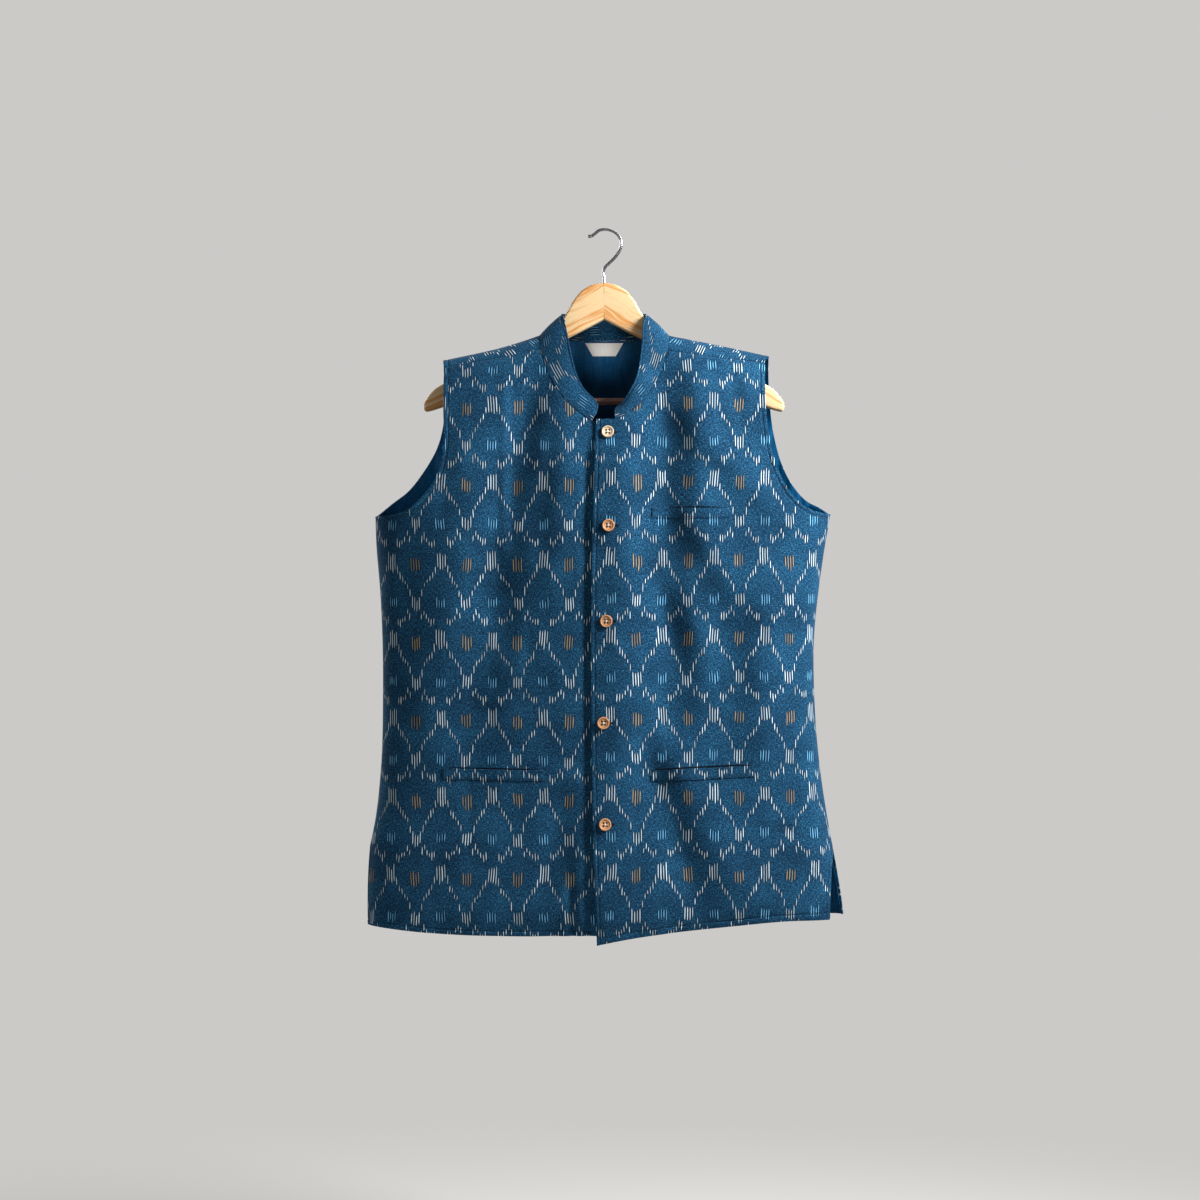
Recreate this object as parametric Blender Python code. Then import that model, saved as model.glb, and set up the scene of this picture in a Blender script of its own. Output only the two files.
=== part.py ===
"""Sleeveless band-collar jacket on a wooden hanger, hung by its hook.

Metres, +Z up, the front faces -Y and +X is the wearer's left. The origin is
the inside top of the hanger's hook. Lengths below are in millimetres.
"""
import math

import bmesh
import bpy
import numpy as np
from mathutils import Vector
from mathutils.bvhtree import BVHTree

MM = 0.001

# ---------------------------------------------------------------- cloth sizes
FRONT_WALL = 2.0            # front cloth with its own facing
BACK_WALL = 1.6
LINING_WALL = 1.0
COLLAR_WALL = 2.4
SEAM_HALF = 0.2             # each piece stops this far short of its seam
SHOULDER_HALF_GAP = 0.35    # the same at the shoulder seam, which bends more
LAYER_GAP = 0.3             # least gap between two pieces that lie together
LINING_LOOSE = 0.9          # further gap between back and lining, off the seams
OVERLAP_DROP = 2.7          # how far the right front lies behind the left one
CAP = 100.0                 # height over which the shoulder rolls to full depth
FULLNESS = 0.2              # 0 is an elliptical side, more is a rounder one
NECK_CENTRE = 0.3           # the neckline's middle in x
SHOULDER_HALF = 284.0       # half width that the chest keeps above the armholes
HALF_DEPTH = 55.0           # the same body's depth, for measures round it
SIDE_RADIUS = 50.0          # the cloth's bend round the side, about the seam
FAR = 200.0                 # a place well off the part, for want of a face

# body sections: height, side seam left and right in x, depth before and behind
SECTIONS = (
    # z, left, right, front, back
    (-885, -293.5, 299.0, 49, 44),
    (-859, -293.5, 297.5, 53, 46),
    (-807, -292.8, 291.8, 56, 48),
    (-771, -291.0, 285.0, 56, 49),
    (-725, -282.7, 276.5, 55, 49),
    (-663, -276.3, 267.4, 54, 49),
    (-574, -274.0, 260.6, 54, 50),
    (-500, -274.8, 260.6, 55, 51),
    (-441, -277.8, 266.6, 56, 52),
    (-391, -282.0, 273.8, 56, 52),
    (-352, -283.5, 280.6, 55, 52),
    (-300, -284.0, 284.0, 52, 50),
    (-240, -284.0, 284.0, 46, 48),
    (-190, -284.0, 284.0, 41, 47),
    (-100, -284.0, 284.0, 38, 46),
)
SECTION = ("z", "left", "right", "front", "back")

# shoulder: the ridge's height, and how far below it the forward seam lies
SHOULDERS = (
    # x, ridge, drop
    (-285, -184.0, 9.0),
    (-200, -161.0, 9.5),
    (-165, -153.5, 10.5),
    (-133, -146.3, 12.8),
    (-100, -136.5, 15.5),
    (-79, -129.3, 18.0),
    (-73, -127.2, 18.5),
    (-56, -111.0, 20.0),
    (-30, -95.0, 20.0),
    (0, -89.5, 20.0),
    (30, -95.0, 20.0),
    (56, -111.0, 20.0),
    (75, -128.0, 19.6),
    (81, -129.8, 20.0),
    (102, -134.0, 18.7),
    (137, -141.0, 16.2),
    (169, -147.8, 13.2),
    (205, -155.8, 9.0),
    (285, -176.0, 8.4),
)
SHOULDER = ("x", "ridge", "drop")

# neckline and collar, from the back's middle to the front end: the seam's
# distance from NECK_CENTRE and its height, then the collar's top edge
NECK = (
    # seam_out, seam_z, face, top_out, top_y, top_z
    (0.0, -133.0, -1, 0.0, 30.0, -97.0),
    (30.0, -132.6, -1, 24.0, 26.5, -98.0),
    (58.0, -131.2, -1, 41.5, 17.5, -100.5),
    (74.0, -130.4, -1, 49.5, 9.0, -102.0),
    (80.0, -129.6, 1, 52.0, -1.0, -103.0),
    (80.4, -137.0, 1, 50.5, -12.0, -107.5),
    (79.0, -149.0, 1, 47.5, -19.5, -121.0),
    (75.0, -161.0, 1, 44.0, -25.5, -137.0),
    (69.5, -177.5, 1, 40.0, -31.0, -158.0),
    (58.5, -198.0, 1, 33.5, -36.5, -181.0),
    (43.5, -217.0, 1, 25.0, -39.0, -198.0),
    (26.5, -231.0, 1, 13.5, -38.5, -209.5),
)
NECK_ENDS = {               # the last row, which differs left and right
    "right": (15.6, -238.7, 1, 2.2, -36.5, -218.0),
    "left": (13.7, -236.2, 1, 10.6, -37.0, -222.5),
}
LEFT_TOPS = {               # the collar's top edge on the left, where it stands wider open
    # row of NECK: top_out, top_z
    7: (46.7, -137.0),
    8: (44.4, -158.0),
    9: (40.3, -181.0),
    10: (32.7, -198.0),
    11: (20.5, -216.5),
}
RIDGE_STATION = 4           # the row that lies on the shoulder's ridge

# front armholes, from underarm to shoulder tip
ARMHOLES = {
    "right": ((-262.6, -353.2), (-242.1, -347.7), (-222.7, -330.7),
              (-207.2, -309.3), (-198.0, -276.0), (-197.4, -215.0)),
    "left": ((262.0, -349.0), (245.9, -342.0), (225.7, -321.4),
             (212.0, -294.5), (203.4, -260.3), (198.4, -215.0)),
}
# the same edges on the back, which is cut less deep
BACK_ARMHOLES = {
    "right": ((-265.6, -338.0), (-246.3, -322.6), (-227.3, -298.5),
              (-208.1, -263.2), (-202.1, -240.0), (-200.5, -200.0)),
    "left": ((270.0, -343.0), (255.9, -335.3), (236.5, -313.7),
             (223.7, -288.4), (214.3, -255.8), (207.0, -200.0)),
}
UNDERARM = {"right": -354.5, "left": -351.5}
TIPS = {"right": -197.5, "left": 198.2}
BACK_TIPS = {"right": -199.6, "left": 204.6}
TIP_Z = -165.0              # about the tips' height

# hems and side vents: x and z along each hem, from the middle to the vent
VENT_TOP = -762.0
VENT_MIDDLE = -806.0
VENT_BOW = 0.6              # how much of the vent edge's slant lies below its middle
HEMS = {
    "right": ((20.0, -866.5), (-116.0, -868.5), (-218.0, -865.2), (-292.2, -858.3)),
    "left": ((-8.6, -878.9), (14.0, -874.2), (63.2, -866.7), (145.0, -857.8),
             (226.5, -851.0), (277.6, -850.4)),
}
HEM_Z = -860.0              # the hems' mean height
VENT_EDGE = {"right": -292.4, "left": 280.5}
BACK_HEM = ((-287.0, -853.0), (-150.0, -861.0), (0.0, -864.0),
            (150.0, -860.0), (297.3, -847.0))
BACK_VENT_EDGE = {"right": -289.0, "left": 287.5}
LINING_HEM_RISE = 12.0

# front edges: the left front's runs from hem to collar, the right's is hidden
LEFT_EDGE = ((-8.6, -878.9), (-12.3, -781.5), (-15.1, -640.0), (-15.6, -456.0),
             (-12.8, -326.0), (-9.8, -236.5))
RIGHT_EDGE = ((18.0, -866.5), (18.0, -238.5))

# ------------------------------------------------------------------ the folds
# each runs from a to b, half as wide as `width` says, proud by `rise`
FOLDS_FRONT = (
    # ax, az, bx, bz, width, rise
    (0, -300, 0, -900, 58, 9.0),
    (-80, -156, -100, -239, 24, -6.0),
    (-100, -239, -112, -312, 26, -6.5),
    (-121, -340, -136, -458, 33, -8.0),
    (-136, -458, -163, -585, 33, -6.5),
    (-163, -640, -150, -720, 30, -3.0),
    (-168, -300, -188, -482, 34, 2.5),
    (-188, -482, -222, -628, 34, 2.5),
    (-46, -239, -52, -380, 15, 2.0),
    (-56, -735, -63, -860, 20, -5.0),
    (-245, -420, -250, -600, 18, -4.0),
    (-205, -677, -212, -823, 26, -3.0),
    (22, -235, 24, -640, 22, 3.0),
    (74, -190, 79, -579, 27, -8.5),
    (116, -165, 120, -275, 26, 6.0),
    (124, -256, 214, -348, 20, 5.0),
    (112, -335, 158, -430, 21, 5.5),
    (104, -363, 131, -411, 15, 4.0),
    (62, -439, 88, -520, 15, -4.0),
    (204, -440, 202, -628, 24, 6.0),
    (152, -440, 150, -640, 24, -5.0),
    (64, -683, 104, -798, 20, -6.5),
    (107, -690, 153, -790, 21, 5.5),
    (264, -500, 268, -850, 30, 6.0),
    (60, -878, 285, -862, 26, -6.0),
    (-285, -870, -20, -874, 24, -4.0),
)
FOLDS_BACK = (
    (-150, -300, -175, -560, 34, 5.0),
    (-70, -260, -62, -520, 28, -4.0),
    (10, -210, 20, -430, 36, 3.5),
    (95, -280, 110, -600, 30, -4.5),
    (180, -330, 190, -620, 32, 5.0),
    (-120, -640, -110, -850, 34, -4.0),
    (40, -620, 30, -850, 38, 4.5),
    (160, -690, 175, -845, 30, -4.0),
    (-220, -660, -228, -845, 28, 3.5),
    (-140, -190, -90, -250, 20, 3.0),
    (150, -190, 100, -245, 20, 3.0),
)
FOLD_FADE = 45.0            # how far past its ends a fold dies away

# --------------------------------------------------------------- mesh density
ROWS_VENT, ROWS_SIDE, ROWS_ARM = 3, 13, 11
ROWS_NECK = 6
COLUMNS_FRONT = 16
COLUMNS_STRIP = 2
ROWS_OVER_SHOULDER = 3
COLUMNS_BACK_NECK = 10
COLUMNS_SHOULDER = 8
COLLAR_ROWS = 3

# ------------------------------------------------------------------ the collar
COLLAR_BULGE = 1.2          # how far it bows outwards halfway up
COLLAR_END_RADIUS = {"right": 13.0, "left": 8.0}
COLLAR_END_FALL = 0.58      # share of its height that a rounded end loses
COLLAR_END_SPLITS = (0.35, 0.6, 0.8, 0.93)
COLLAR_MOST_LEAN = math.radians(55)

# ------------------------------------------------------- pockets, label, trim
WELT_THICK = 1.6
WELT_CELLS = (10, 2)        # along and up
WELT_FEELERS = (61, 7)      # places along and up where its clearance is felt
WELTS = {
    # name: centre x, centre z, length, height, slope, gape at the mouth
    "welt_chest": (105.5, -351.5, 96.0, 12.4, 0.0, 0.6),
    "welt_left": (120.5, -669.5, 127.0, 14.0, 0.045, 1.8),
    "welt_right": (-136.0, -671.0, 124.0, 13.6, -0.015, 0.6),
}
LABEL_TOP, LABEL_FOOT, LABEL_HEIGHT = 48.0, 29.0, 16.0
LABEL_THICK = 0.6
LABEL_BELOW = 2.5           # how far below the collar's seam it starts
LABEL_CELLS = 4
LABEL_FEELERS = ((-5.0, -2.5, 0.0, 2.5, 5.0), (-4.0, -2.0, 0.0, 2.0))
BUTTON_RADIUS = 7.75
BUTTON_THICK = 3.0
BUTTON_SIDES = 16
BUTTON_PROFILE = (
    # radius, height, as shares of the button's own
    (0.0, 0.0), (0.80, 0.0), (1.0, 0.30), (1.0, 0.70), (0.93, 0.95),
    (0.82, 1.0), (0.68, 0.72), (0.0, 0.62),
)
BUTTONS = (                 # x and z of each, top to bottom
    (4.6, -252.8), (5.4, -367.0), (3.0, -483.3), (-0.7, -607.0), (1.1, -730.3),
)

# ------------------------------------------------------------------ the hanger
ARM_THICK = 13.0
ARM_EDGE = 4.0
ARM_JOINT = 0.2
ARM_TOP = (                 # upper edge from the middle to the tip, left side
    (0.0, -64.8), (14.5, -67.2), (27.5, -74.5), (39.0, -88.0), (49.0, -106.0),
    (64.0, -121.6), (80.0, -136.7), (120.0, -155.0), (160.0, -172.4),
    (199.0, -189.8), (210.0, -196.5), (218.5, -206.0),
)
ARM_TIP = ((223.5, -216.0), (221.5, -223.5), (212.0, -222.5))
ARM_FOOT = (                # lower edge from the tip back to the middle
    (200.0, -218.5), (150.0, -192.0), (100.0, -165.5), (46.0, -134.3),
    (20.0, -120.8), (0.0, -110.6),
)
BAR_RADIUS = 4.4
BAR_Z = -211.5
BAR_HALF = 203.0
SOCKET_INNER = 60.0         # the bar's groove starts here, clear of the wood
BORE_TOP = -50.0            # the hook's bore is cut from above the wood
HOOK_WIRE = 1.9
HOOK_DEPTH = 24.0           # how deep the bore goes below the first point
HOOK_SHORT = 4.0            # how far the wire stops above the bore's floor
HOOK_TIP_RADII = (1.25, 0.75)
HOOK = (                    # centre line of the wire, from the wood to the tip
    (0.0, -58.0), (-1.0, -52.0), (0.4, -46.5), (4.5, -41.8), (9.5, -37.0),
    (15.5, -30.5), (20.0, -22.6), (21.6, -14.5), (19.4, -7.6), (13.6, -1.6),
    (7.0, 1.2), (0.0, 1.9), (-6.5, 0.4), (-11.5, -3.6), (-15.4, -6.3),
    (-19.8, -6.8),
)

# ------------------------------------------------------------------- finishes
FINISHES = {
    # name: colour, roughness, metallic
    "shell": ((0.030, 0.100, 0.180), 0.85, 0.0),
    "lining": ((0.008, 0.060, 0.180), 0.45, 0.0),
    "label": ((0.850, 0.840, 0.800), 0.80, 0.0),
    "button": ((0.420, 0.250, 0.130), 0.55, 0.0),
    "wood": ((0.720, 0.480, 0.260), 0.45, 0.0),
    "steel": ((0.620, 0.620, 0.640), 0.25, 1.0),
}


# ----------------------------------------------------------------- small tools
def column(rows, names, name):
    """One named column of a table."""
    place = names.index(name)
    return np.array([row[place] for row in rows], dtype=float)


def smooth_curve(xs, ys):
    """A function that runs smoothly through the points of a table."""
    order = np.argsort(xs)
    xs = np.asarray(xs, dtype=float)[order]
    ys = np.asarray(ys, dtype=float)[order]
    slopes = np.gradient(ys, xs)

    def value(x):
        x = min(max(x, xs[0]), xs[-1])
        k = min(int(np.searchsorted(xs, x, side="right")) - 1, len(xs) - 2)
        width = xs[k + 1] - xs[k]
        t = (x - xs[k]) / width
        start = ys[k] * (1 + 2 * t) + slopes[k] * width * t
        end = ys[k + 1] * (3 - 2 * t) - slopes[k + 1] * width * (1 - t)
        return float(start * (1 - t) ** 2 + end * t * t)

    return value


def smooth_path(points):
    """A function of 0 to 1 that runs smoothly through points of any size."""
    points = np.array(points, dtype=float)
    steps = np.linalg.norm(np.diff(points, axis=0), axis=1)
    along = np.concatenate(([0.0], np.cumsum(steps))) / steps.sum()
    curves = [smooth_curve(along, points[:, k]) for k in range(points.shape[1])]
    return lambda t: tuple(curve(t) for curve in curves)


def evenly(path, count, start=0.0, end=1.0):
    """count + 1 points an equal distance apart on a smooth path."""
    fine = np.linspace(start, end, 241)
    points = np.array([path(t) for t in fine])
    steps = np.linalg.norm(np.diff(points, axis=0), axis=1)
    along = np.concatenate(([0.0], np.cumsum(steps))) / steps.sum()
    return [path(t) for t in np.interp(np.linspace(0, 1, count + 1), along, fine)]


def step(value, low, high):
    """0 below low, 1 above high and a smooth rise between."""
    t = min(max((value - low) / (high - low), 0.0), 1.0)
    return t * t * (3 - 2 * t)


def blend(a, b, t):
    return a + (b - a) * t


def unit(vector):
    return vector / np.linalg.norm(vector)


# ------------------------------------------------------------ the body's shape
side_left = smooth_curve(column(SECTIONS, SECTION, "z"), column(SECTIONS, SECTION, "left"))
side_right = smooth_curve(column(SECTIONS, SECTION, "z"), column(SECTIONS, SECTION, "right"))
depth_front = smooth_curve(column(SECTIONS, SECTION, "z"), column(SECTIONS, SECTION, "front"))
depth_back = smooth_curve(column(SECTIONS, SECTION, "z"), column(SECTIONS, SECTION, "back"))
ridge_z = smooth_curve(column(SHOULDERS, SHOULDER, "x"), column(SHOULDERS, SHOULDER, "ridge"))
seam_drop = smooth_curve(column(SHOULDERS, SHOULDER, "x"), column(SHOULDERS, SHOULDER, "drop"))

# a table of the turn round the side, against the share of the half width that
# it reaches, and against a measure that gives tight curves more columns
TURN = np.radians(np.linspace(-90, 90, 1441))
REACH = np.sin(TURN + FULLNESS * np.sin(2 * TURN))
TURN_WEIGHT = 30.0
edge_x = SHOULDER_HALF * REACH
edge_y = -HALF_DEPTH * np.cos(TURN)
heading = np.unwrap(np.arctan2(np.gradient(edge_y), np.gradient(edge_x)))
advance = np.hypot(np.diff(edge_x), np.diff(edge_y)) + TURN_WEIGHT * np.abs(np.diff(heading))
MEASURE = np.concatenate(([0.0], np.cumsum(advance)))
SIDE_TURN = math.radians(90) - SEAM_HALF / SIDE_RADIUS


def share_of(turn):
    """Share of the half width that a turn round the body reaches."""
    return math.sin(turn + FULLNESS * math.sin(2 * turn))


def turn_at(x, z):
    """The turn round the body that meets x at height z."""
    left, right = side_left(z), side_right(z)
    share = (2 * x - left - right) / (right - left)
    return float(np.interp(share, REACH, TURN))


def x_at(turn, z):
    left, right = side_left(z), side_right(z)
    return (left + right + (right - left) * share_of(turn)) / 2


def ridge_at(turn):
    return ridge_z(SHOULDER_HALF * share_of(turn))


def climb_at(turn, z, face):
    """How far down from the ridge z lies, along the cloth's roll: +1 is front."""
    drop = ridge_at(turn) - z
    if drop <= 0:
        return 0.0
    if drop < CAP:
        return face * CAP * math.acos(1 - drop / CAP)
    return face * (CAP * math.pi / 2 + drop - CAP)


def fold_height(folds, x, z):
    """How far the folds stand proud at x, z."""
    height = 0.0
    for ax, az, bx, bz, width, rise in folds:
        length = math.hypot(bx - ax, bz - az)
        dx, dz = (bx - ax) / length, (bz - az) / length
        along = (x - ax) * dx + (z - az) * dz
        across = (x - ax) * dz - (z - az) * dx
        over = max(0.0, -along, along - length)
        height += rise * math.exp(-(across / width) ** 2 - (over / FOLD_FADE) ** 2)
    return height


def body(turn, climb, drop=None):
    """A point on the jacket's outer face; drop says how deep an overlap lies."""
    roll = min(abs(climb) / CAP, math.pi / 2)
    fall = CAP * (1 - math.cos(roll)) + max(0.0, abs(climb) - CAP * math.pi / 2)
    z = ridge_at(turn) - fall
    x = x_at(turn, z)
    round_off = math.cos(turn) * math.sin(roll)
    if climb >= 0:
        depth = depth_front(z) * round_off + fold_height(FOLDS_FRONT, x, z) * round_off ** 2
        if drop:
            depth -= drop(x, z)
        return np.array((x, -depth, z))
    depth = depth_back(z) * round_off + fold_height(FOLDS_BACK, x, z) * round_off ** 2
    return np.array((x, depth, z))


def facing(turn, climb, drop=None):
    """The outward direction of the jacket's face at a point."""
    small = 0.002
    across = body(turn + small, climb, drop) - body(turn - small, climb, drop)
    down = body(turn, climb + 0.5, drop) - body(turn, climb - 0.5, drop)
    return -unit(np.cross(across, down))


# ----------------------------------------------------------------- the neckline
def neck_path(side):
    """Two functions of the station: the seam (turn, climb) and the top (x, y, z)."""
    rows = NECK + (NECK_ENDS[side],)
    sign = 1 if side == "left" else -1
    seam, top = [], []
    for place, (seam_out, seam_z, face, top_out, top_y, top_z) in enumerate(rows):
        x = NECK_CENTRE + sign * seam_out
        turn = turn_at(x, seam_z)
        climb = 0.0 if place == RIDGE_STATION else climb_at(turn, seam_z, face)
        if side == "left":
            top_out, top_z = LEFT_TOPS.get(place, (top_out, top_z))
        seam.append((turn, climb))
        top.append((NECK_CENTRE + sign * top_out, top_y, top_z))
    stations = np.arange(len(rows))
    parts = [smooth_curve(stations, [row[k] for row in seam]) for k in (0, 1)]
    tops = [smooth_curve(stations, [row[k] for row in top]) for k in (0, 1, 2)]
    return (lambda s: tuple(part(s) for part in parts),
            lambda s: np.array([part(s) for part in tops]))


def neck_stations(side):
    """Stations where the cloth's columns meet the neckline: back, over, front."""
    seam, _ = neck_path(side)
    fine = np.linspace(0, len(NECK), 1201)
    points = np.array([body(*seam(s)) for s in fine])
    steps = np.linalg.norm(np.diff(points, axis=0), axis=1)
    along = np.concatenate(([0.0], np.cumsum(steps)))
    forward = next(s for s in fine if seam(s)[1] > forward_climb(seam(s)[0]))

    def split(start, end, count):
        ends = np.interp((start, end), fine, along)
        return list(np.interp(np.linspace(*ends, count + 1), along, fine))

    return (split(0, RIDGE_STATION, COLUMNS_BACK_NECK // 2),
            split(RIDGE_STATION, forward, ROWS_OVER_SHOULDER),
            split(forward, len(NECK), ROWS_NECK))


def forward_climb(turn):
    """The climb of the shoulder seam, which lies forward of the ridge."""
    return climb_at(turn, ridge_at(turn) - seam_drop(SHOULDER_HALF * share_of(turn)), 1)


# ---------------------------------------------------------- walls from grids
def make_object(name, bm, finish, smooth=True):
    mesh = bpy.data.meshes.new(name)
    bm.to_mesh(mesh)
    bm.free()
    if smooth:
        mesh.shade_smooth()
        mesh.set_sharp_from_angle(angle=math.radians(50))
    obj = bpy.data.objects.new(name, mesh)
    bpy.context.collection.objects.link(obj)
    mesh.materials.append(material(finish))
    return obj


def material(finish):
    """The Principled material of that finish, made once."""
    if finish in bpy.data.materials:
        return bpy.data.materials[finish]
    colour, roughness, metallic = FINISHES[finish]
    made = bpy.data.materials.new(finish)
    made.use_nodes = True
    shader = made.node_tree.nodes["Principled BSDF"]
    shader.inputs["Base Color"].default_value = (*colour, 1.0)
    shader.inputs["Roughness"].default_value = roughness
    shader.inputs["Metallic"].default_value = metallic
    made.diffuse_color = (*colour, 1.0)
    return made


def wall(outer, inner, missing=lambda i, j: False):
    """A closed wall between two grids of points, without the missing cells."""
    rows, columns = len(outer), len(outer[0])
    bm = bmesh.new()
    bmesh.ops.create_grid(bm, x_segments=columns - 1, y_segments=rows - 1, size=1)
    slot = bm.verts.layers.int.new("slot")
    for place, vert in enumerate(bm.verts):
        vert[slot] = place
        vert.co = Vector(outer[place // columns][place % columns]) * MM
    bm.faces.ensure_lookup_table()
    holes = [face for place, face in enumerate(bm.faces)
             if missing(place % (columns - 1), place // (columns - 1))]
    bmesh.ops.delete(bm, geom=holes, context="FACES")
    moved = bmesh.ops.extrude_face_region(bm, geom=bm.faces[:])
    for item in moved["geom"]:
        if isinstance(item, bmesh.types.BMVert):
            place = item[slot]
            item.co = Vector(inner[place // columns][place % columns]) * MM
    bmesh.ops.triangulate(bm, faces=bm.faces[:])
    bmesh.ops.recalc_face_normals(bm, faces=bm.faces[:])
    return bm


def cloth_wall(grid, start, thick, drop=None, missing=lambda i, j: False):
    """A wall whose faces lie start and start + thick inside the jacket's face.

    start is a function of row and column, so that a lining can hang loose."""
    outer, inner = [], []
    for j, row in enumerate(grid):
        outer.append([])
        inner.append([])
        for i, (turn, climb) in enumerate(row):
            point = body(turn, climb, drop)
            normal = facing(turn, climb, drop)
            outer[-1].append(point - normal * start(i, j))
            inner[-1].append(point - normal * (start(i, j) + thick))
    return wall(outer, inner, missing)


# ------------------------------------------------------------------ the fronts
def outer_edge(side, hem_corner, vent_x, armhole, tip_end):
    """Turn and z up a panel's outer edge: vent, side seam, then armhole."""
    sign = 1 if side == "left" else -1
    vent = smooth_path((hem_corner, (blend(hem_corner[0], vent_x, VENT_BOW), VENT_MIDDLE),
                        (x_at(sign * SIDE_TURN, VENT_TOP), VENT_TOP)))
    points = [(turn_at(x, z), z) for x, z in evenly(vent, ROWS_VENT)[:-1]]
    underarm = UNDERARM[side]
    for k in range(ROWS_SIDE):
        points.append((sign * SIDE_TURN, blend(VENT_TOP, underarm, k / ROWS_SIDE)))
    start = (x_at(sign * SIDE_TURN, underarm), underarm)
    curve = smooth_path((start,) + armhole + (tip_end,))
    for x, z in evenly(curve, ROWS_ARM):
        points.append((turn_at(x, z), z))
    points[ROWS_VENT + ROWS_SIDE] = (sign * SIDE_TURN, underarm)
    return points


def patch(bottom, top, start, end):
    """A grid of points between four edges, each a list of (measure, climb)."""
    bottom, top, start, end = (np.array(edge) for edge in (bottom, top, start, end))
    grid = []
    for j in range(len(start)):
        v = j / (len(start) - 1)
        row = []
        for i in range(len(bottom)):
            u = i / (len(bottom) - 1)
            lower = blend(bottom[0], bottom[-1], u)
            upper = blend(top[0], top[-1], u)
            point = blend(bottom[i], top[i], v) + blend(start[j], end[j], u)
            row.append(point - blend(lower, upper, v))
        grid.append(row)
    return [[(float(np.interp(m, MEASURE, TURN)), climb) for m, climb in row] for row in grid]


def measured(points, face):
    """(turn, z) points as (measure, climb) on the front, +1, or the back, -1."""
    return [(np.interp(turn, TURN, MEASURE), climb_at(turn, z, face)) for turn, z in points]


def hem_points(hem, start_x, end_x, count):
    """(turn, z) along a hem, evenly spaced round the body."""
    ends = [np.interp(turn_at(x, hem(x)), TURN, MEASURE) for x in (start_x, end_x)]
    turns = np.interp(np.linspace(*ends, count + 1), MEASURE, TURN)
    return [(turn, hem(x_at(turn, hem(x_at(turn, HEM_Z))))) for turn in turns]


def front_grid(side):
    """Turn and climb of a front's grid, the strip under the buttons included."""
    hem = smooth_curve(*zip(*HEMS[side]))
    seam, _ = neck_path(side)
    neck = [seam(s) for s in neck_stations(side)[2][::-1]]
    end_x, _, end_z = body(*neck[0])
    rows_centre = ROWS_VENT + ROWS_SIDE + ROWS_ARM - ROWS_NECK
    heights = np.linspace(hem(end_x), end_z, rows_centre + 1)[:-1]
    inner = measured([(turn_at(end_x, z), z) for z in heights], 1)
    inner += [(np.interp(turn, TURN, MEASURE), climb) for turn, climb in neck]
    tip_turn = turn_at(TIPS[side], TIP_Z)
    tip = (TIPS[side], ridge_at(tip_turn) - seam_drop(TIPS[side]) - SHOULDER_HALF_GAP)
    outer = outer_edge(side, HEMS[side][-1], VENT_EDGE[side], ARMHOLES[side], tip)
    outer = measured(outer, 1)
    bottom = measured(hem_points(hem, end_x, HEMS[side][-1][0], COLUMNS_FRONT), 1)
    shoulder = np.interp(np.linspace(inner[-1][0], outer[-1][0], COLUMNS_FRONT + 1),
                         MEASURE, TURN)
    top = [(np.interp(turn, TURN, MEASURE), forward_climb(turn) + SHOULDER_HALF_GAP)
           for turn in shoulder]
    bottom[0], bottom[-1], top[0], top[-1] = inner[0], outer[0], inner[-1], outer[-1]
    grid = patch(bottom, top, inner, outer)
    # the strip under the buttons, from the front edge to the collar's end
    edge_points = LEFT_EDGE if side == "left" else RIGHT_EDGE
    edge = smooth_curve(*zip(*[(z, x) for x, z in edge_points]))
    for j, row in enumerate(grid):
        strip = [row[0]] * COLUMNS_STRIP
        if j <= rows_centre:
            z_row = body(*row[0])[2]
            for i in range(COLUMNS_STRIP):
                x = blend(edge(z_row), end_x, i / COLUMNS_STRIP)
                z = z_row + (hem(x) - hem(end_x)) * (1 - j / rows_centre) ** 3
                strip[i] = (turn_at(x, z), climb_at(turn_at(x, z), z, 1))
        grid[j] = strip + row
    return grid, lambda i, j: i < COLUMNS_STRIP and j >= rows_centre


def overlap_drop(x, z):
    """How deep the right front lies behind the left one at x."""
    return OVERLAP_DROP * step(x, -62.0, -24.0)


def make_fronts():
    fronts = {}
    for side, drop in (("left", None), ("right", overlap_drop)):
        grid, missing = front_grid(side)
        bm = cloth_wall(grid, lambda i, j: 0.0, FRONT_WALL, drop, missing)
        fronts[side] = make_object("front_" + side, bm, "shell")
    return fronts


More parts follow.
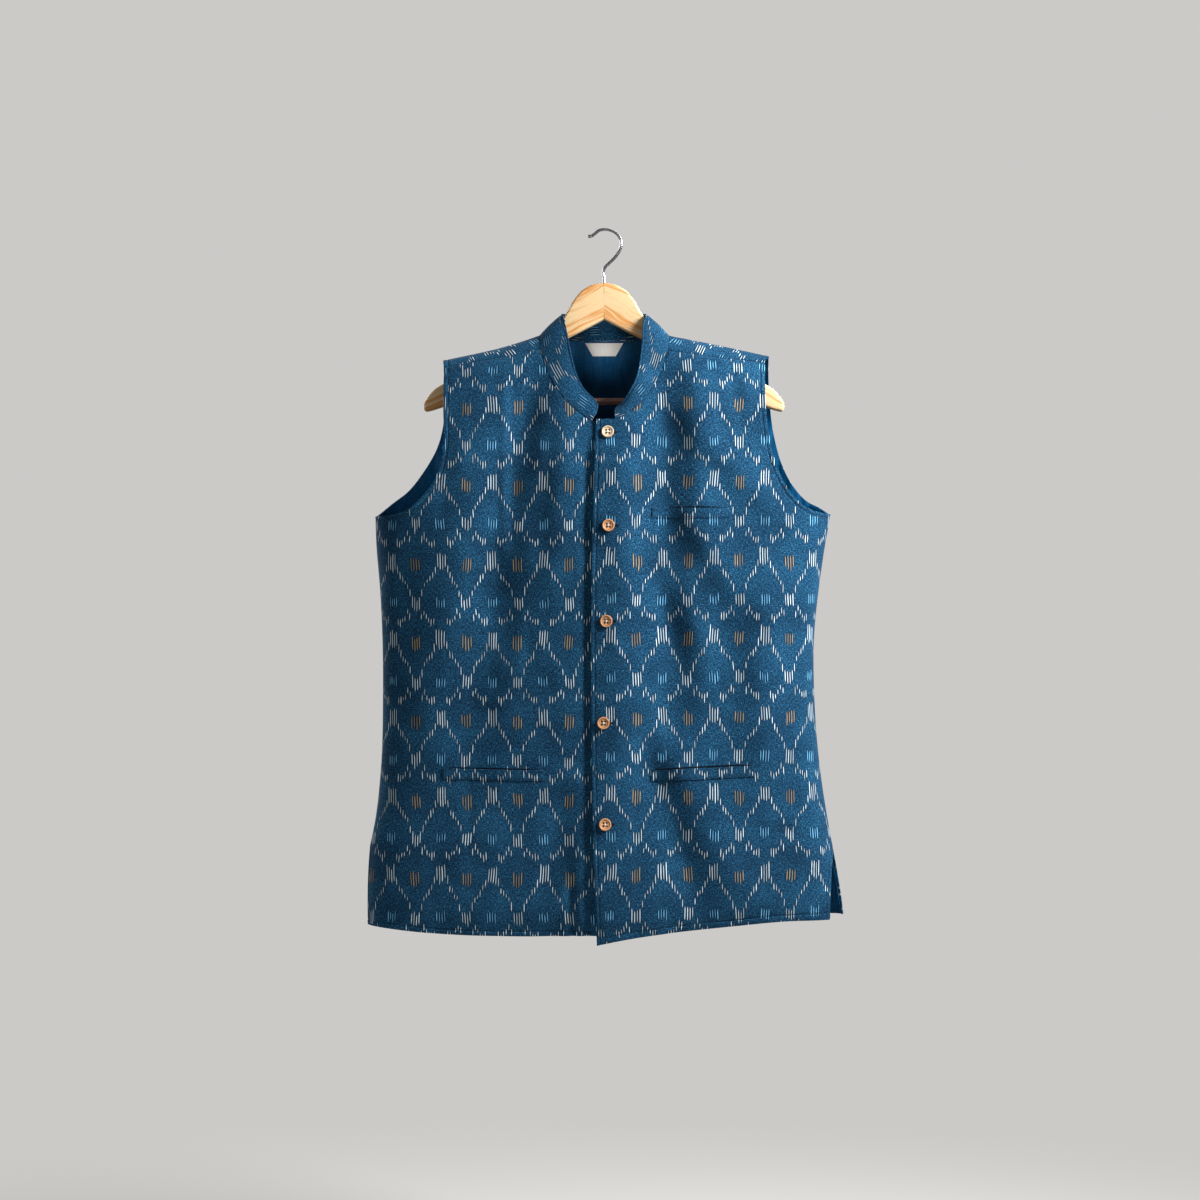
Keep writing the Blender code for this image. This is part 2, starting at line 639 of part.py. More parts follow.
# -------------------------------------------------------- the back and lining
def back_grid():
    """Turn and climb of the back, from hem to neck and over both shoulders."""
    hem = smooth_curve(*zip(*BACK_HEM))
    edges, neck_back, neck_over = {}, {}, {}
    top = []
    for side, corner in (("right", BACK_HEM[0]), ("left", BACK_HEM[-1])):
        ridge_end = (BACK_TIPS[side], ridge_z(BACK_TIPS[side]))
        edge = outer_edge(side, corner, BACK_VENT_EDGE[side], BACK_ARMHOLES[side], ridge_end)
        edges[side] = measured(edge, -1)
        seam, _ = neck_path(side)
        backs, overs, _ = neck_stations(side)
        neck_over[side] = [seam(s) for s in overs]
        # half of the top row: the shoulder's ridge, then the neck's back
        neck = [(np.interp(turn, TURN, MEASURE), climb) for turn, climb in map(seam, backs)]
        ridge = np.linspace(edges[side][-1][0], neck[-1][0], COLUMNS_SHOULDER + 1)[:-1]
        top.append([(place, 0.0) for place in ridge] + neck[::-1])
    top = top[0] + top[1][-2::-1]
    last = len(edges["left"]) - 1
    columns = len(top) - 1
    bottom = measured(hem_points(hem, BACK_HEM[0][0], BACK_HEM[-1][0], columns), -1)
    bottom[0], bottom[-1] = edges["right"][0], edges["left"][0]
    edges["right"][-1], edges["left"][-1] = top[0], top[-1]
    grid = patch(bottom, top, edges["right"], edges["left"])
    over = {side: shoulder_columns(side, edges[side][-1][0], neck_over[side])
            for side in ("right", "left")}
    for k in range(1, ROWS_OVER_SHOULDER + 1):
        reach = k / ROWS_OVER_SHOULDER
        row = over["right"][k] + [over["right"][k][-1]] * (COLUMNS_BACK_NECK - 1)
        row += over["left"][k][::-1]
        grid.append([(turn, climb if climb is not None else
                      (forward_climb(turn) - SHOULDER_HALF_GAP) * reach) for turn, climb in row])
    first, final = COLUMNS_SHOULDER, columns - COLUMNS_SHOULDER
    return grid, lambda i, j: j >= last and first <= i < final, last


def shoulder_columns(side, tip_measure, neck):
    """Rows of (turn, climb) from shoulder tip to neck, from ridge to forward seam."""
    tip = np.interp(turn_at(TIPS[side], TIP_Z), TURN, MEASURE)
    neck_measures = [np.interp(turn, TURN, MEASURE) for turn, _ in neck]
    rows = []
    for k in range(ROWS_OVER_SHOULDER + 1):
        reach = k / ROWS_OVER_SHOULDER
        ends = blend(tip_measure, tip, reach), neck_measures[k]
        turns = np.interp(np.linspace(*ends, COLUMNS_SHOULDER + 1), MEASURE, TURN)
        row = [(float(turn), None) for turn in turns]
        if k < ROWS_OVER_SHOULDER:
            row[-1] = neck[k]
        rows.append(row)
    return rows


def make_back():
    grid, missing, last = back_grid()
    bm = cloth_wall(grid, lambda i, j: 0.0, BACK_WALL, None, missing)
    back = make_object("back", bm, "shell")
    # the lining is the back's own grid, cut shorter at the hem and hung loose
    hung = [[(turn, climb + LINING_HEM_RISE) for turn, climb in grid[0]]] + grid[1:]
    top, columns = len(grid) - 1, len(grid[0]) - 1

    def start(i, j):
        seam = (i in (0, columns) and j > ROWS_VENT) or j in (last, top)
        return BACK_WALL + LAYER_GAP + (0.0 if seam else LINING_LOOSE)

    lining = cloth_wall(hung, start, LINING_WALL, None, missing)
    lining = make_object("back_lining", lining, "lining")
    return back, lining


# ------------------------------------------------------------------ the collar
def collar_half(side):
    """Foot points, the cloth's face at each, and head points, from back to front end."""
    seam, top = neck_path(side)
    backs, overs, fronts = neck_stations(side)
    stations = backs + overs[1:] + fronts[1:]
    start, end = stations[-2:]
    # a place is two stations, the share from one to the other, and its own number;
    # the last column is split, so that the collar's end can be rounded
    places = [(start, end, t, blend(start, end, t)) for t in COLLAR_END_SPLITS]
    places = [(s, s, 0.0, s) for s in stations[:-1]] + places + [(end, end, 0.0, end)]
    radius = COLLAR_END_RADIUS[side]
    feet, faces, heads = [], [], []
    for first, second, t, station in places:
        at = blend(body(*seam(first)), body(*seam(second)), t)
        if side == "right" and seam(first)[1] > 0:
            at = at + np.array((0.0, overlap_drop(at[0], at[2]), 0.0))
        feet.append(at)
        faces.append(unit(blend(facing(*seam(first)), facing(*seam(second)), t)))
        heads.append(top(station))
    for k, at in enumerate(feet):
        inset = radius - float(np.linalg.norm(at - feet[-1]))
        if inset > 0:
            bite = 1 - math.sqrt(max(0.0, 1 - (inset / radius) ** 2))
            heads[k] = at + (heads[k] - at) * (1 - COLLAR_END_FALL * bite)
    return feet, faces, heads


def make_collar():
    """A stand collar on the neckline's own points, its outer face flush with the cloth."""
    halves = zip(collar_half("right"), collar_half("left"))
    feet, faces, heads = [right[::-1] + left[1:] for right, left in halves]
    outer = [[] for _ in range(COLLAR_ROWS + 1)]
    inner = [[] for _ in range(COLLAR_ROWS + 1)]
    for k, (at, out, head) in enumerate(zip(feet, faces, heads)):
        along = unit(feet[min(k + 1, len(feet) - 1)] - feet[max(k - 1, 0)])
        inward = unit(np.cross(along, out))
        rise = unit(head - at)
        inside = unit(np.cross(along, rise))
        # where it leans back, its inner foot is mitred to clear the cloth's edge
        lean = math.atan2(rise @ out, rise @ inward)
        mitre = COLLAR_WALL * math.tan(min(max(-lean, 0.0), COLLAR_MOST_LEAN))
        base = at + inward * (LAYER_GAP + 0.1)
        for j in range(COLLAR_ROWS + 1):
            t = j / COLLAR_ROWS
            point = blend(base, head, t) - inside * COLLAR_BULGE * math.sin(math.pi * t)
            outer[j].append(point)
            inner[j].append(point + inside * COLLAR_WALL + rise * (0.0 if j else mitre))
    return make_object("collar", wall(outer, inner), "shell")


# ------------------------------------------- pieces that lie on another piece
def faces_of(obj):
    mesh = obj.data
    points = [vert.co / MM for vert in mesh.vertices]
    return BVHTree.FromPolygons(points, [tuple(face.vertices) for face in mesh.polygons])


def ground(tree, x, z, from_y, way):
    """The y of a piece's face met from from_y going way, at x and z."""
    hit, _, _, _ = tree.ray_cast(Vector((x, from_y, z)), Vector((0, way, 0)))
    return hit.y if hit else from_y + way * FAR


def make_welt(name, tree):
    """A stitched pocket welt: a strip moved out from its front's own face."""
    centre_x, centre_z, length, height, slope, gape = WELTS[name]
    across, up = WELT_CELLS
    outer, inner = [], []
    for v in np.linspace(0, 1, up + 1):
        outer.append([])
        inner.append([])
        for u in np.linspace(-0.5, 0.5, across + 1):
            x = centre_x + u * length
            z = centre_z + (v - 0.5) * height + u * length * slope
            turn = turn_at(x, z)
            climb = climb_at(turn, z, 1)
            base, normal = body(turn, climb), facing(turn, climb)
            lift = gape * math.cos(math.pi * u) * v
            inner[-1].append(base + normal * lift)
            outer[-1].append(base + normal * (lift + WELT_THICK))
    # it is moved out until it clears every point of the front beneath it
    depths = []
    for share in np.linspace(0, across, WELT_FEELERS[0]):
        for rise in np.linspace(0, up, WELT_FEELERS[1]):
            i, j = min(int(share), across - 1), min(int(rise), up - 1)
            low = blend(inner[j][i], inner[j][i + 1], share - i)
            high = blend(inner[j + 1][i], inner[j + 1][i + 1], share - i)
            at = blend(low, high, rise - j)
            depths.append(at[1] - ground(tree, at[0], at[2], -FAR, 1))
    out = np.array((0.0, -(max(depths) + LAYER_GAP + 0.1), 0.0))
    outer = [[point + out for point in row] for row in outer]
    inner = [[point + out for point in row] for row in inner]
    return make_object(name, wall(outer, inner), "shell")


def make_label(tree):
    """A plain woven label, sewn below the collar on the lining's inner face."""
    top_z = body(*neck_path("left")[0](0.0))[2] - LABEL_BELOW
    near, far = [], []
    for j, width in enumerate((LABEL_TOP, LABEL_FOOT)):
        z = top_z - LABEL_HEIGHT * j
        far.append([])
        near.append([])
        for x in np.linspace(-width / 2, width / 2, LABEL_CELLS + 1) + NECK_CENTRE:
            lowest = min(ground(tree, x + dx, z + dz, 0.0, 1)
                         for dx in LABEL_FEELERS[0] for dz in LABEL_FEELERS[1])
            far[-1].append(np.array((x, lowest - LAYER_GAP, z)))
            near[-1].append(np.array((x, lowest - LAYER_GAP - LABEL_THICK, z)))
    return make_object("label", wall(near, far), "label")


def make_buttons(tree):
    for place, (x, z) in enumerate(BUTTONS):
        turn = turn_at(x, z)
        normal = Vector(facing(turn, climb_at(turn, z, 1)))
        across = Vector((1, 0, 0))
        across = (across - normal * across.dot(normal)).normalized()
        up = normal.cross(across)
        centre = Vector((x, ground(tree, x, z, -FAR, 1), z))
        # the highest cloth beneath it, felt on three rings
        lift = 0.0
        for ring in (0.35, 0.7, 1.0):
            for k in range(24):
                angle = math.tau * k / 24
                spoke = across * math.cos(angle) + up * math.sin(angle)
                at = centre + spoke * BUTTON_RADIUS * ring
                hit = Vector((at.x, ground(tree, at.x, at.z, -FAR, 1), at.z))
                lift = max(lift, (hit - centre).dot(normal))
        centre = centre + normal * (lift + LAYER_GAP + 0.1)
        make_button("button_%d" % (place + 1), centre, across, up, normal)


def make_button(name, centre, across, up, normal):
    """A turned button: a flat back, a round rim and a dished face."""
    bm = bmesh.new()
    verts = [bm.verts.new((r * BUTTON_RADIUS, 0, h * BUTTON_THICK)) for r, h in BUTTON_PROFILE]
    edges = [bm.edges.new(pair) for pair in zip(verts, verts[1:])]
    bmesh.ops.spin(bm, geom=verts + edges, cent=(0, 0, 0), axis=(0, 0, 1),
                   angle=math.tau, steps=BUTTON_SIDES, use_merge=True)
    bmesh.ops.remove_doubles(bm, verts=bm.verts[:], dist=0.001)
    for vert in bm.verts:
        x, y, z = vert.co
        vert.co = (centre + across * x + up * y + normal * z) * MM
    bmesh.ops.recalc_face_normals(bm, faces=bm.faces[:])
    return make_object(name, bm, "button")


# ------------------------------------------------------------------ the hanger
def make_arm(side):
    """Half of the wooden hanger, cut from a board and rounded along its edges."""
    sign = 1 if side == "left" else -1
    outline = evenly(smooth_path(ARM_TOP[:4]), 5) + evenly(smooth_path(ARM_TOP[3:]), 11)[1:]
    outline += evenly(smooth_path((ARM_TOP[-1],) + ARM_TIP), 6)[1:]
    outline += evenly(smooth_path((ARM_TIP[-1],) + ARM_FOOT), 9)[1:]
    bm = bmesh.new()
    half = ARM_THICK / 2
    verts = [bm.verts.new((sign * max(x, ARM_JOINT) * MM, -half * MM, z * MM)) for x, z in outline]
    face = bm.faces.new(verts)
    board = bmesh.ops.extrude_face_region(bm, geom=[face])
    for item in board["geom"]:
        if isinstance(item, bmesh.types.BMVert):
            item.co.y = half * MM
    bmesh.ops.recalc_face_normals(bm, faces=bm.faces[:])
    sides = [edge for edge in bm.edges
             if abs(edge.verts[0].co.y - edge.verts[1].co.y) < 1e-6
             and max(abs(vert.co.x) for vert in edge.verts) > 0.001]
    bmesh.ops.bevel(bm, geom=sides, offset=ARM_EDGE * MM, affect="EDGES", segments=2,
                    profile=0.5, material=-1, clamp_overlap=True)
    bmesh.ops.triangulate(bm, faces=bm.faces[:])
    arm = make_object("hanger_arm_" + side, bm, "wood")
    socket = cutter_rod("socket_" + side, BAR_RADIUS + LAYER_GAP,
                        (sign * SOCKET_INNER, 0.0, BAR_Z),
                        (sign * (BAR_HALF + LAYER_GAP), 0.0, BAR_Z))
    bore = cutter_rod("bore_" + side, HOOK_WIRE + LAYER_GAP,
                      (0.0, 0.0, BORE_TOP), (0.0, 0.0, HOOK[0][1] - HOOK_DEPTH - 2.0))
    for cutter in (socket, bore):
        cut = arm.modifiers.new("cut", "BOOLEAN")
        cut.operation = "DIFFERENCE"
        cut.object = cutter
    return arm


def rod_mesh(radius, start, end, sides):
    bm = bmesh.new()
    start, end = Vector(start), Vector(end)
    bmesh.ops.create_cone(bm, cap_ends=True, segments=sides, radius1=radius * MM,
                          radius2=radius * MM, depth=(end - start).length * MM)
    turn = Vector((0, 0, 1)).rotation_difference(end - start).to_matrix().to_4x4()
    bmesh.ops.transform(bm, matrix=turn, verts=bm.verts[:])
    bmesh.ops.translate(bm, vec=(start + end) / 2 * MM, verts=bm.verts[:])
    return bm


def cutter_rod(name, radius, start, end):
    cutter = make_object(name, rod_mesh(radius, start, end, 16), "wood")
    cutter.hide_render = True
    cutter.display_type = "WIRE"
    return cutter


def make_hook():
    """The wire hook: a bent rod with a slightly swollen tip."""
    bend = smooth_path(HOOK)
    route = [(0.0, HOOK[0][1] - HOOK_DEPTH + HOOK_SHORT)] + evenly(bend, 34)
    curve = bpy.data.curves.new("hanger_hook", "CURVE")
    curve.dimensions = "3D"
    curve.bevel_depth = HOOK_WIRE * MM
    curve.bevel_resolution = 2
    curve.use_fill_caps = True
    spline = curve.splines.new("POLY")
    spline.points.add(len(route) - 1)
    for place, (x, z) in enumerate(route):
        spline.points[place].co = (x * MM, 0.0, z * MM, 1.0)
    for point, radius in zip(spline.points[-2:], HOOK_TIP_RADII):
        point.radius = radius
    hook = bpy.data.objects.new("hanger_hook", curve)
    curve.materials.append(material("steel"))
    bpy.context.collection.objects.link(hook)
    return hook


def make_bar():
    bar = rod_mesh(BAR_RADIUS, (-BAR_HALF, 0.0, BAR_Z), (BAR_HALF, 0.0, BAR_Z), 14)
    return make_object("hanger_bar", bar, "wood")


def main():
    for obj in list(bpy.data.objects):
        bpy.data.objects.remove(obj, do_unlink=True)
    fronts = make_fronts()
    _, lining = make_back()
    make_collar()
    trees = {side: faces_of(front) for side, front in fronts.items()}
    make_welt("welt_chest", trees["left"])
    make_welt("welt_left", trees["left"])
    make_welt("welt_right", trees["right"])
    make_label(faces_of(lining))
    make_buttons(trees["left"])
    for side in ("left", "right"):
        make_arm(side)
    make_bar()
    make_hook()


main()
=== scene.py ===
"""Sleeveless band-collar ikat jacket on its wooden hanger: its cloth, thread and finishes.

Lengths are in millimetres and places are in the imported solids' frame: the front faces -Y,
+X is the wearer's left and the origin is the inside top of the hanger's hook.
"""
import math

import bmesh
import bpy
import numpy as np
from mathutils import Matrix, Vector
from mathutils.bvhtree import BVHTree
from mathutils.kdtree import KDTree


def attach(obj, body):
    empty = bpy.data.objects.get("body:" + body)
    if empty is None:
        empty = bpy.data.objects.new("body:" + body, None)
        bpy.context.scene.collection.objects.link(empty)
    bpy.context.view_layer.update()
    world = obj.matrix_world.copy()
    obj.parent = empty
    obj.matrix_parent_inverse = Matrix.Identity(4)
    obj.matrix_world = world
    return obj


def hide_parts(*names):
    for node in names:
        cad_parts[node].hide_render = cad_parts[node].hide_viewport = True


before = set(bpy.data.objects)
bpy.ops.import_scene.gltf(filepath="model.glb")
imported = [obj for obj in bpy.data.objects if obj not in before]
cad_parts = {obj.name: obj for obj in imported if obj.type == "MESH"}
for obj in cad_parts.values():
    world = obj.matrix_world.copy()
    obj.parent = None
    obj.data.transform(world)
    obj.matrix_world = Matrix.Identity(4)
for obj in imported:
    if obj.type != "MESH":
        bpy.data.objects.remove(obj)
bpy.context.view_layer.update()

MM = 0.001
BODY = "root"

# ---------------------------------------------------------------- camera and light
CAMERA = (-4.96, -3100.0, -457.6)
LENS, SENSOR = 50.0, 24.0
CAMERA_REACH = 100.0        # metres, beyond the far side of the floor
FLOOR_Z = -1330.0
FLOOR_RADIUS = 9000.0
PAPER = (0.60, 0.59, 0.575, 1.0)
PAPER_NEAR, PAPER_FAR = 200.0, 1500.0  # between these the lit floor turns to plain paper
AMBIENT = 0.25              # strength of the paper's own light on the jacket
SOFT_LAMPS = (
    # name, place and aim in metres, side of the square, watts
    ("key", (1.15, -0.58, 0.33), (0, 0, -0.45), 0.55, 55),
    ("fill", (-2.4, -2.2, 0.2), (0, 0, -0.5), 2.0, 13),
    ("top", (0.8, 0.7, 1.4), (0, 0, -0.4), 1.6, 14),
    ("behind", (-1.6, 1.0, 0.3), (0, 0, -0.5), 1.2, 24),
)
NECK_BEAM = ("neck", (0.04, -1.5, 0.0), (0, 0.03, -0.146), 2.0, 74)  # its width in degrees
NECK_BEAM_BLEND, NECK_BEAM_RADIUS = 0.7, 0.02

# ---------------------------------------------------------------- cloth sizes
FRONT_WALL = 2.0
BACK_WALL = 1.6
LINING_WALL = 1.0
COLLAR_WALL = 2.4
SEAM_HALF = 0.2             # each piece stops this far short of its seam
SHOULDER_HALF_GAP = 0.35    # the same at the shoulder seam
LAYER_GAP = 0.3             # least gap between two pieces that lie together
LINING_LOOSE = 0.9          # further gap between back and lining, off the seams
OVERLAP_DROP = 2.7          # how far the right front lies behind the left one
EDGE_DROP = 3.0             # and how much further just beside the left one's edge
EDGE_DROP_X, EDGE_DROP_WIDTH = -20.5, 6.0
OVERLAP_START, OVERLAP_FULL = -62.0, -24.0  # in x, and below the neck in -z
EDGE_DROP_START, EDGE_DROP_FULL = 245.0, 300.0
CAP = 100.0                 # height over which the shoulder rolls to full depth
FULLNESS = 0.2              # 0 is an elliptical side, more is a rounder one
NECK_CENTRE = 0.3           # the neckline's middle in x
SHOULDER_HALF = 284.0       # half width that the chest keeps above the armholes
HALF_DEPTH = 55.0           # the same body's depth, for measures round it
CLEAR_Y = -200.0            # well before the jacket, where rays towards it start
TURN_NUDGE, CLIMB_NUDGE = 0.002, 0.5  # small moves that tell which way the face looks
PATH_POINTS, NECK_POINTS = 241, 1201  # for measuring along curves

# body sections: height, side seams in x, and depth before and behind
SECTIONS = (
    # z, seam at -X, seam at +X, front, back
    (-885, -293.5, 299.0, 49, 44),
    (-859, -293.5, 297.5, 53, 46),
    (-807, -292.8, 291.8, 56, 48),
    (-771, -291.0, 285.0, 56, 49),
    (-725, -282.7, 276.5, 55, 49),
    (-663, -276.3, 267.4, 54, 49),
    (-574, -274.0, 260.6, 54, 50),
    (-500, -274.8, 260.6, 55, 51),
    (-441, -277.8, 266.6, 56, 52),
    (-391, -282.0, 273.8, 56, 52),
    (-352, -283.5, 280.6, 55, 52),
    (-300, -284.0, 284.0, 52, 50),
    (-240, -284.0, 284.0, 46, 48),
    (-190, -284.0, 284.0, 41, 47),
    (-100, -284.0, 284.0, 38, 46),
)

# shoulder: the ridge's height, and how far below it the forward seam lies
SHOULDERS = (
    # x, ridge, drop
    (-285, -184.0, 9.0),
    (-200, -161.0, 9.5),
    (-165, -153.5, 10.5),
    (-133, -146.3, 12.8),
    (-100, -136.5, 15.5),
    (-79, -129.3, 18.0),
    (-73, -127.2, 18.5),
    (-56, -111.0, 20.0),
    (-30, -95.0, 20.0),
    (0, -89.5, 20.0),
    (30, -95.0, 20.0),
    (56, -111.0, 20.0),
    (75, -128.0, 19.6),
    (81, -129.8, 20.0),
    (102, -134.0, 18.7),
    (137, -141.0, 16.2),
    (169, -147.8, 13.2),
    (205, -155.8, 9.0),
    (285, -176.0, 8.4),
)

# neckline and collar, from the back's middle to the front end: the seam's
# distance from NECK_CENTRE and its height, then the collar's top edge
NECK = (
    # seam_out, seam_z, face, top_out, top_y, top_z
    (0.0, -133.0, -1, 0.0, 30.0, -97.0),
    (30.0, -132.6, -1, 24.0, 26.5, -98.0),
    (58.0, -131.2, -1, 41.5, 17.5, -100.5),
    (74.0, -130.4, -1, 49.5, 9.0, -102.0),
    (80.0, -129.6, 1, 52.0, -1.0, -103.0),
    (80.4, -137.0, 1, 50.5, -12.0, -107.5),
    (79.0, -149.0, 1, 47.5, -19.5, -121.0),
    (75.0, -161.0, 1, 44.0, -25.5, -137.0),
    (69.5, -177.5, 1, 40.0, -31.0, -158.0),
    (58.5, -198.0, 1, 33.5, -36.5, -181.0),
    (43.5, -217.0, 1, 25.0, -39.0, -198.0),
    (26.5, -231.0, 1, 13.5, -38.5, -209.5),
)
NECK_ENDS = {               # the last row, which differs left and right
    "right": (15.6, -238.7, 1, 2.2, -36.5, -218.0),
    "left": (13.7, -236.2, 1, 10.6, -37.0, -222.5),
}
LEFT_TOPS = {               # the collar's top edge on the left, where it stands wider open
    # row of NECK: top_out, top_z
    7: (46.7, -137.0),
    8: (44.4, -158.0),
    9: (40.3, -181.0),
    10: (32.7, -198.0),
    11: (20.5, -216.5),
}
RIDGE_STATION = 4           # the row that lies on the shoulder's ridge

# armholes of the fronts and of the back, from underarm to shoulder tip
ARMHOLES = {
    "right": ((-262.6, -353.2), (-242.1, -347.7), (-222.7, -330.7),
              (-207.2, -309.3), (-198.0, -276.0), (-197.4, -215.0)),
    "left": ((262.0, -349.0), (245.9, -342.0), (225.7, -321.4),
             (212.0, -294.5), (203.4, -260.3), (198.4, -215.0)),
}
BACK_ARMHOLES = {
    "right": ((-265.6, -338.0), (-246.3, -322.6), (-227.3, -298.5),
              (-208.1, -263.2), (-202.1, -240.0), (-200.5, -200.0)),
    "left": ((270.0, -343.0), (255.9, -335.3), (236.5, -313.7),
             (223.7, -288.4), (214.3, -255.8), (207.0, -200.0)),
}
UNDERARM = {"right": -354.5, "left": -351.5}
TIPS = {"right": -197.5, "left": 198.2}
BACK_TIPS = {"right": -199.6, "left": 204.6}
TIP_Z = -165.0

# hems and side vents: x and z along each hem, from the middle to the vent
VENT_TOP = -762.0
VENT_MIDDLE = -806.0
HEMS = {
    "right": ((20.0, -866.5), (-116.0, -868.5), (-218.0, -865.2), (-292.2, -858.3)),
    "left": ((-8.6, -878.9), (14.0, -874.2), (63.2, -866.7), (145.0, -857.8),
             (226.5, -851.0), (277.6, -850.4)),
}
HEM_Z = -860.0
VENT_EDGE = {"right": -292.4, "left": 280.5}
BACK_HEM = ((-287.0, -853.0), (-150.0, -861.0), (0.0, -864.0),
            (150.0, -860.0), (297.3, -847.0))
BACK_VENT_EDGE = {"right": -289.0, "left": 287.5}
LINING_HEM_RISE = 12.0

# front edges: the left front's runs from hem to collar, the right's is hidden
FRONT_EDGES = {
    "left": ((-8.6, -878.9), (-12.3, -781.5), (-15.1, -640.0), (-15.6, -456.0),
             (-12.8, -326.0), (-9.8, -236.5)),
    "right": ((18.0, -866.5), (18.0, -238.5)),
}

# ------------------------------------------------------------------ the folds
# each runs from a to b, half as wide as `width` says, proud by `rise`
FOLDS_FRONT = (
    # ax, az, bx, bz, width, rise
    (0, -300, 0, -900, 58, 9.0),
    (-80, -156, -100, -239, 24, -6.0),
    (-100, -239, -112, -312, 26, -6.5),
    (-121, -340, -136, -458, 33, -8.0),
    (-136, -458, -163, -585, 33, -6.5),
    (-163, -640, -150, -720, 30, -3.0),
    (-168, -300, -188, -482, 34, 2.5),
    (-188, -482, -222, -628, 34, 2.5),
    (-46, -239, -52, -380, 15, 2.0),
    (-56, -735, -63, -860, 20, -5.0),
    (-245, -420, -250, -600, 18, -4.0),
    (-205, -677, -212, -823, 26, -3.0),
    (22, -235, 24, -640, 22, 3.0),
    (74, -190, 79, -579, 27, -8.5),
    (116, -165, 120, -275, 26, 6.0),
    (124, -256, 214, -348, 20, 5.0),
    (112, -335, 158, -430, 21, 5.5),
    (104, -363, 131, -411, 15, 4.0),
    (62, -439, 88, -520, 15, -4.0),
    (204, -440, 202, -628, 24, 6.0),
    (152, -440, 150, -640, 24, -5.0),
    (64, -683, 104, -798, 20, -6.5),
    (107, -690, 153, -790, 21, 5.5),
    (264, -500, 268, -850, 30, 6.0),
    (60, -878, 285, -862, 26, -6.0),
    (-285, -870, -20, -874, 24, -4.0),
)
FOLDS_BACK = (
    # ax, az, bx, bz, width, rise
    (-150, -300, -175, -560, 34, 5.0),
    (-70, -260, -62, -520, 28, -4.0),
    (10, -210, 20, -430, 36, 3.5),
    (95, -280, 110, -600, 30, -4.5),
    (180, -330, 190, -620, 32, 5.0),
    (-120, -640, -110, -850, 34, -4.0),
    (40, -620, 30, -850, 38, 4.5),
    (160, -690, 175, -845, 30, -4.0),
    (-220, -660, -228, -845, 28, 3.5),
    (-140, -190, -90, -250, 20, 3.0),
    (150, -190, 100, -245, 20, 3.0),
)
# creases finer than the solids' folds
CREASES_FRONT = (
    # ax, az, bx, bz, width, rise
    (-122, -196, -122, -385, 6, 2.0),
    (-96, -170, -104, -226, 8, 1.2),
    (-60, -330, -66, -420, 8, 0.8),
    (-167, -670, -163, -762, 7, -1.4),
    (-20, -780, -70, -835, 8, 1.4),
    (-186, -230, -196, -330, 9, -1.1),
    (-150, -480, -176, -560, 9, 0.9),
    (-236, -352, -250, -372, 8, 1.0),
    (-88, -470, -96, -560, 8, -0.8),
    (102, -445, 123, -518, 14, 2.4),
    (155, -166, 163, -214, 8, -1.4),
    (167, -172, 176, -200, 7, 1.2),
    (146, -168, 150, -214, 7, 1.2),
    (226, -744, 276, -749, 7, -3.2),
    (222, -757, 276, -762, 8, 1.6),
    (60, -480, 66, -640, 9, 0.8),
    (42, -260, 44, -330, 8, -0.9),
    (232, -738, 262, -736, 5, -1.0),
    (36, -700, 40, -800, 9, -0.9),
    (-20, -792, -40, -817, 6, -4.5),
    (-40, -817, -38, -866, 5, -4.5),
    (176, -470, 170, -600, 9, -0.9),
    (150, -560, 146, -640, 9, 0.9),
)
CREASES_BACK = (
    # ax, az, bx, bz, width, rise
    (-150, -200, -165, -330, 9, -1.2),
    (-30, -190, -40, -330, 10, 0.9),
    (40, -230, 60, -380, 9, -1.0),
    (120, -180, 150, -300, 8, 1.1),
    (-90, -520, -120, -660, 10, 1.0),
    (70, -560, 90, -700, 9, -1.0),
    (-190, -700, -200, -800, 8, -1.0),
)
FOLD_FADE = 45.0            # over which a fold dies away past its ends
CREASE_FADE = 22.0
CRUMPLES = (
    # heading in radians, wave
    (0.3, 7.0),
    (1.2, 9.0),
    (2.2, 6.0),
    (-0.5, 12.0),
    (0.8, 5.0),
)
CRUMPLE_RISE = 0.22
PHASES = {                  # starts of the ripple and of the crumple
    "front": (0.7, 0.4),
    "back": (1.9, 3.3),
}

# row and column numbers of the solids' own grids, in which the fine ones are laid
ROWS_VENT, ROWS_SIDE, ROWS_ARM = 3, 13, 11
ROWS_NECK = 6
COLUMNS_FRONT = 16
COLUMNS_STRIP = 2
ROWS_OVER_SHOULDER = 3
COLUMNS_BACK_NECK = 10
COLUMNS_SHOULDER = 8
ROWS = ROWS_VENT + ROWS_SIDE + ROWS_ARM
ROWS_UNDERARM = ROWS_VENT + ROWS_SIDE
ROWS_CENTRE = ROWS - ROWS_NECK
COLUMNS_BACK = COLUMNS_BACK_NECK + 2 * COLUMNS_SHOULDER
# how many fine columns and rows are laid in them
STRIP_COLUMNS, FRONT_COLUMNS = 10, 84
FRONT_ROWS, FRONT_NECK_ROWS = 164, 54
BACK_MESH = (150, 170)
LINING_MESH = (104, 110)
OVER_ROWS = 15
# about how wide a column and how tall a row of the solids' grids is, beside an edge
STRIP_WIDE, FRONT_WIDE, BACK_WIDE = 14.0, 13.0, 18.0
ROW_TALL = 30.0

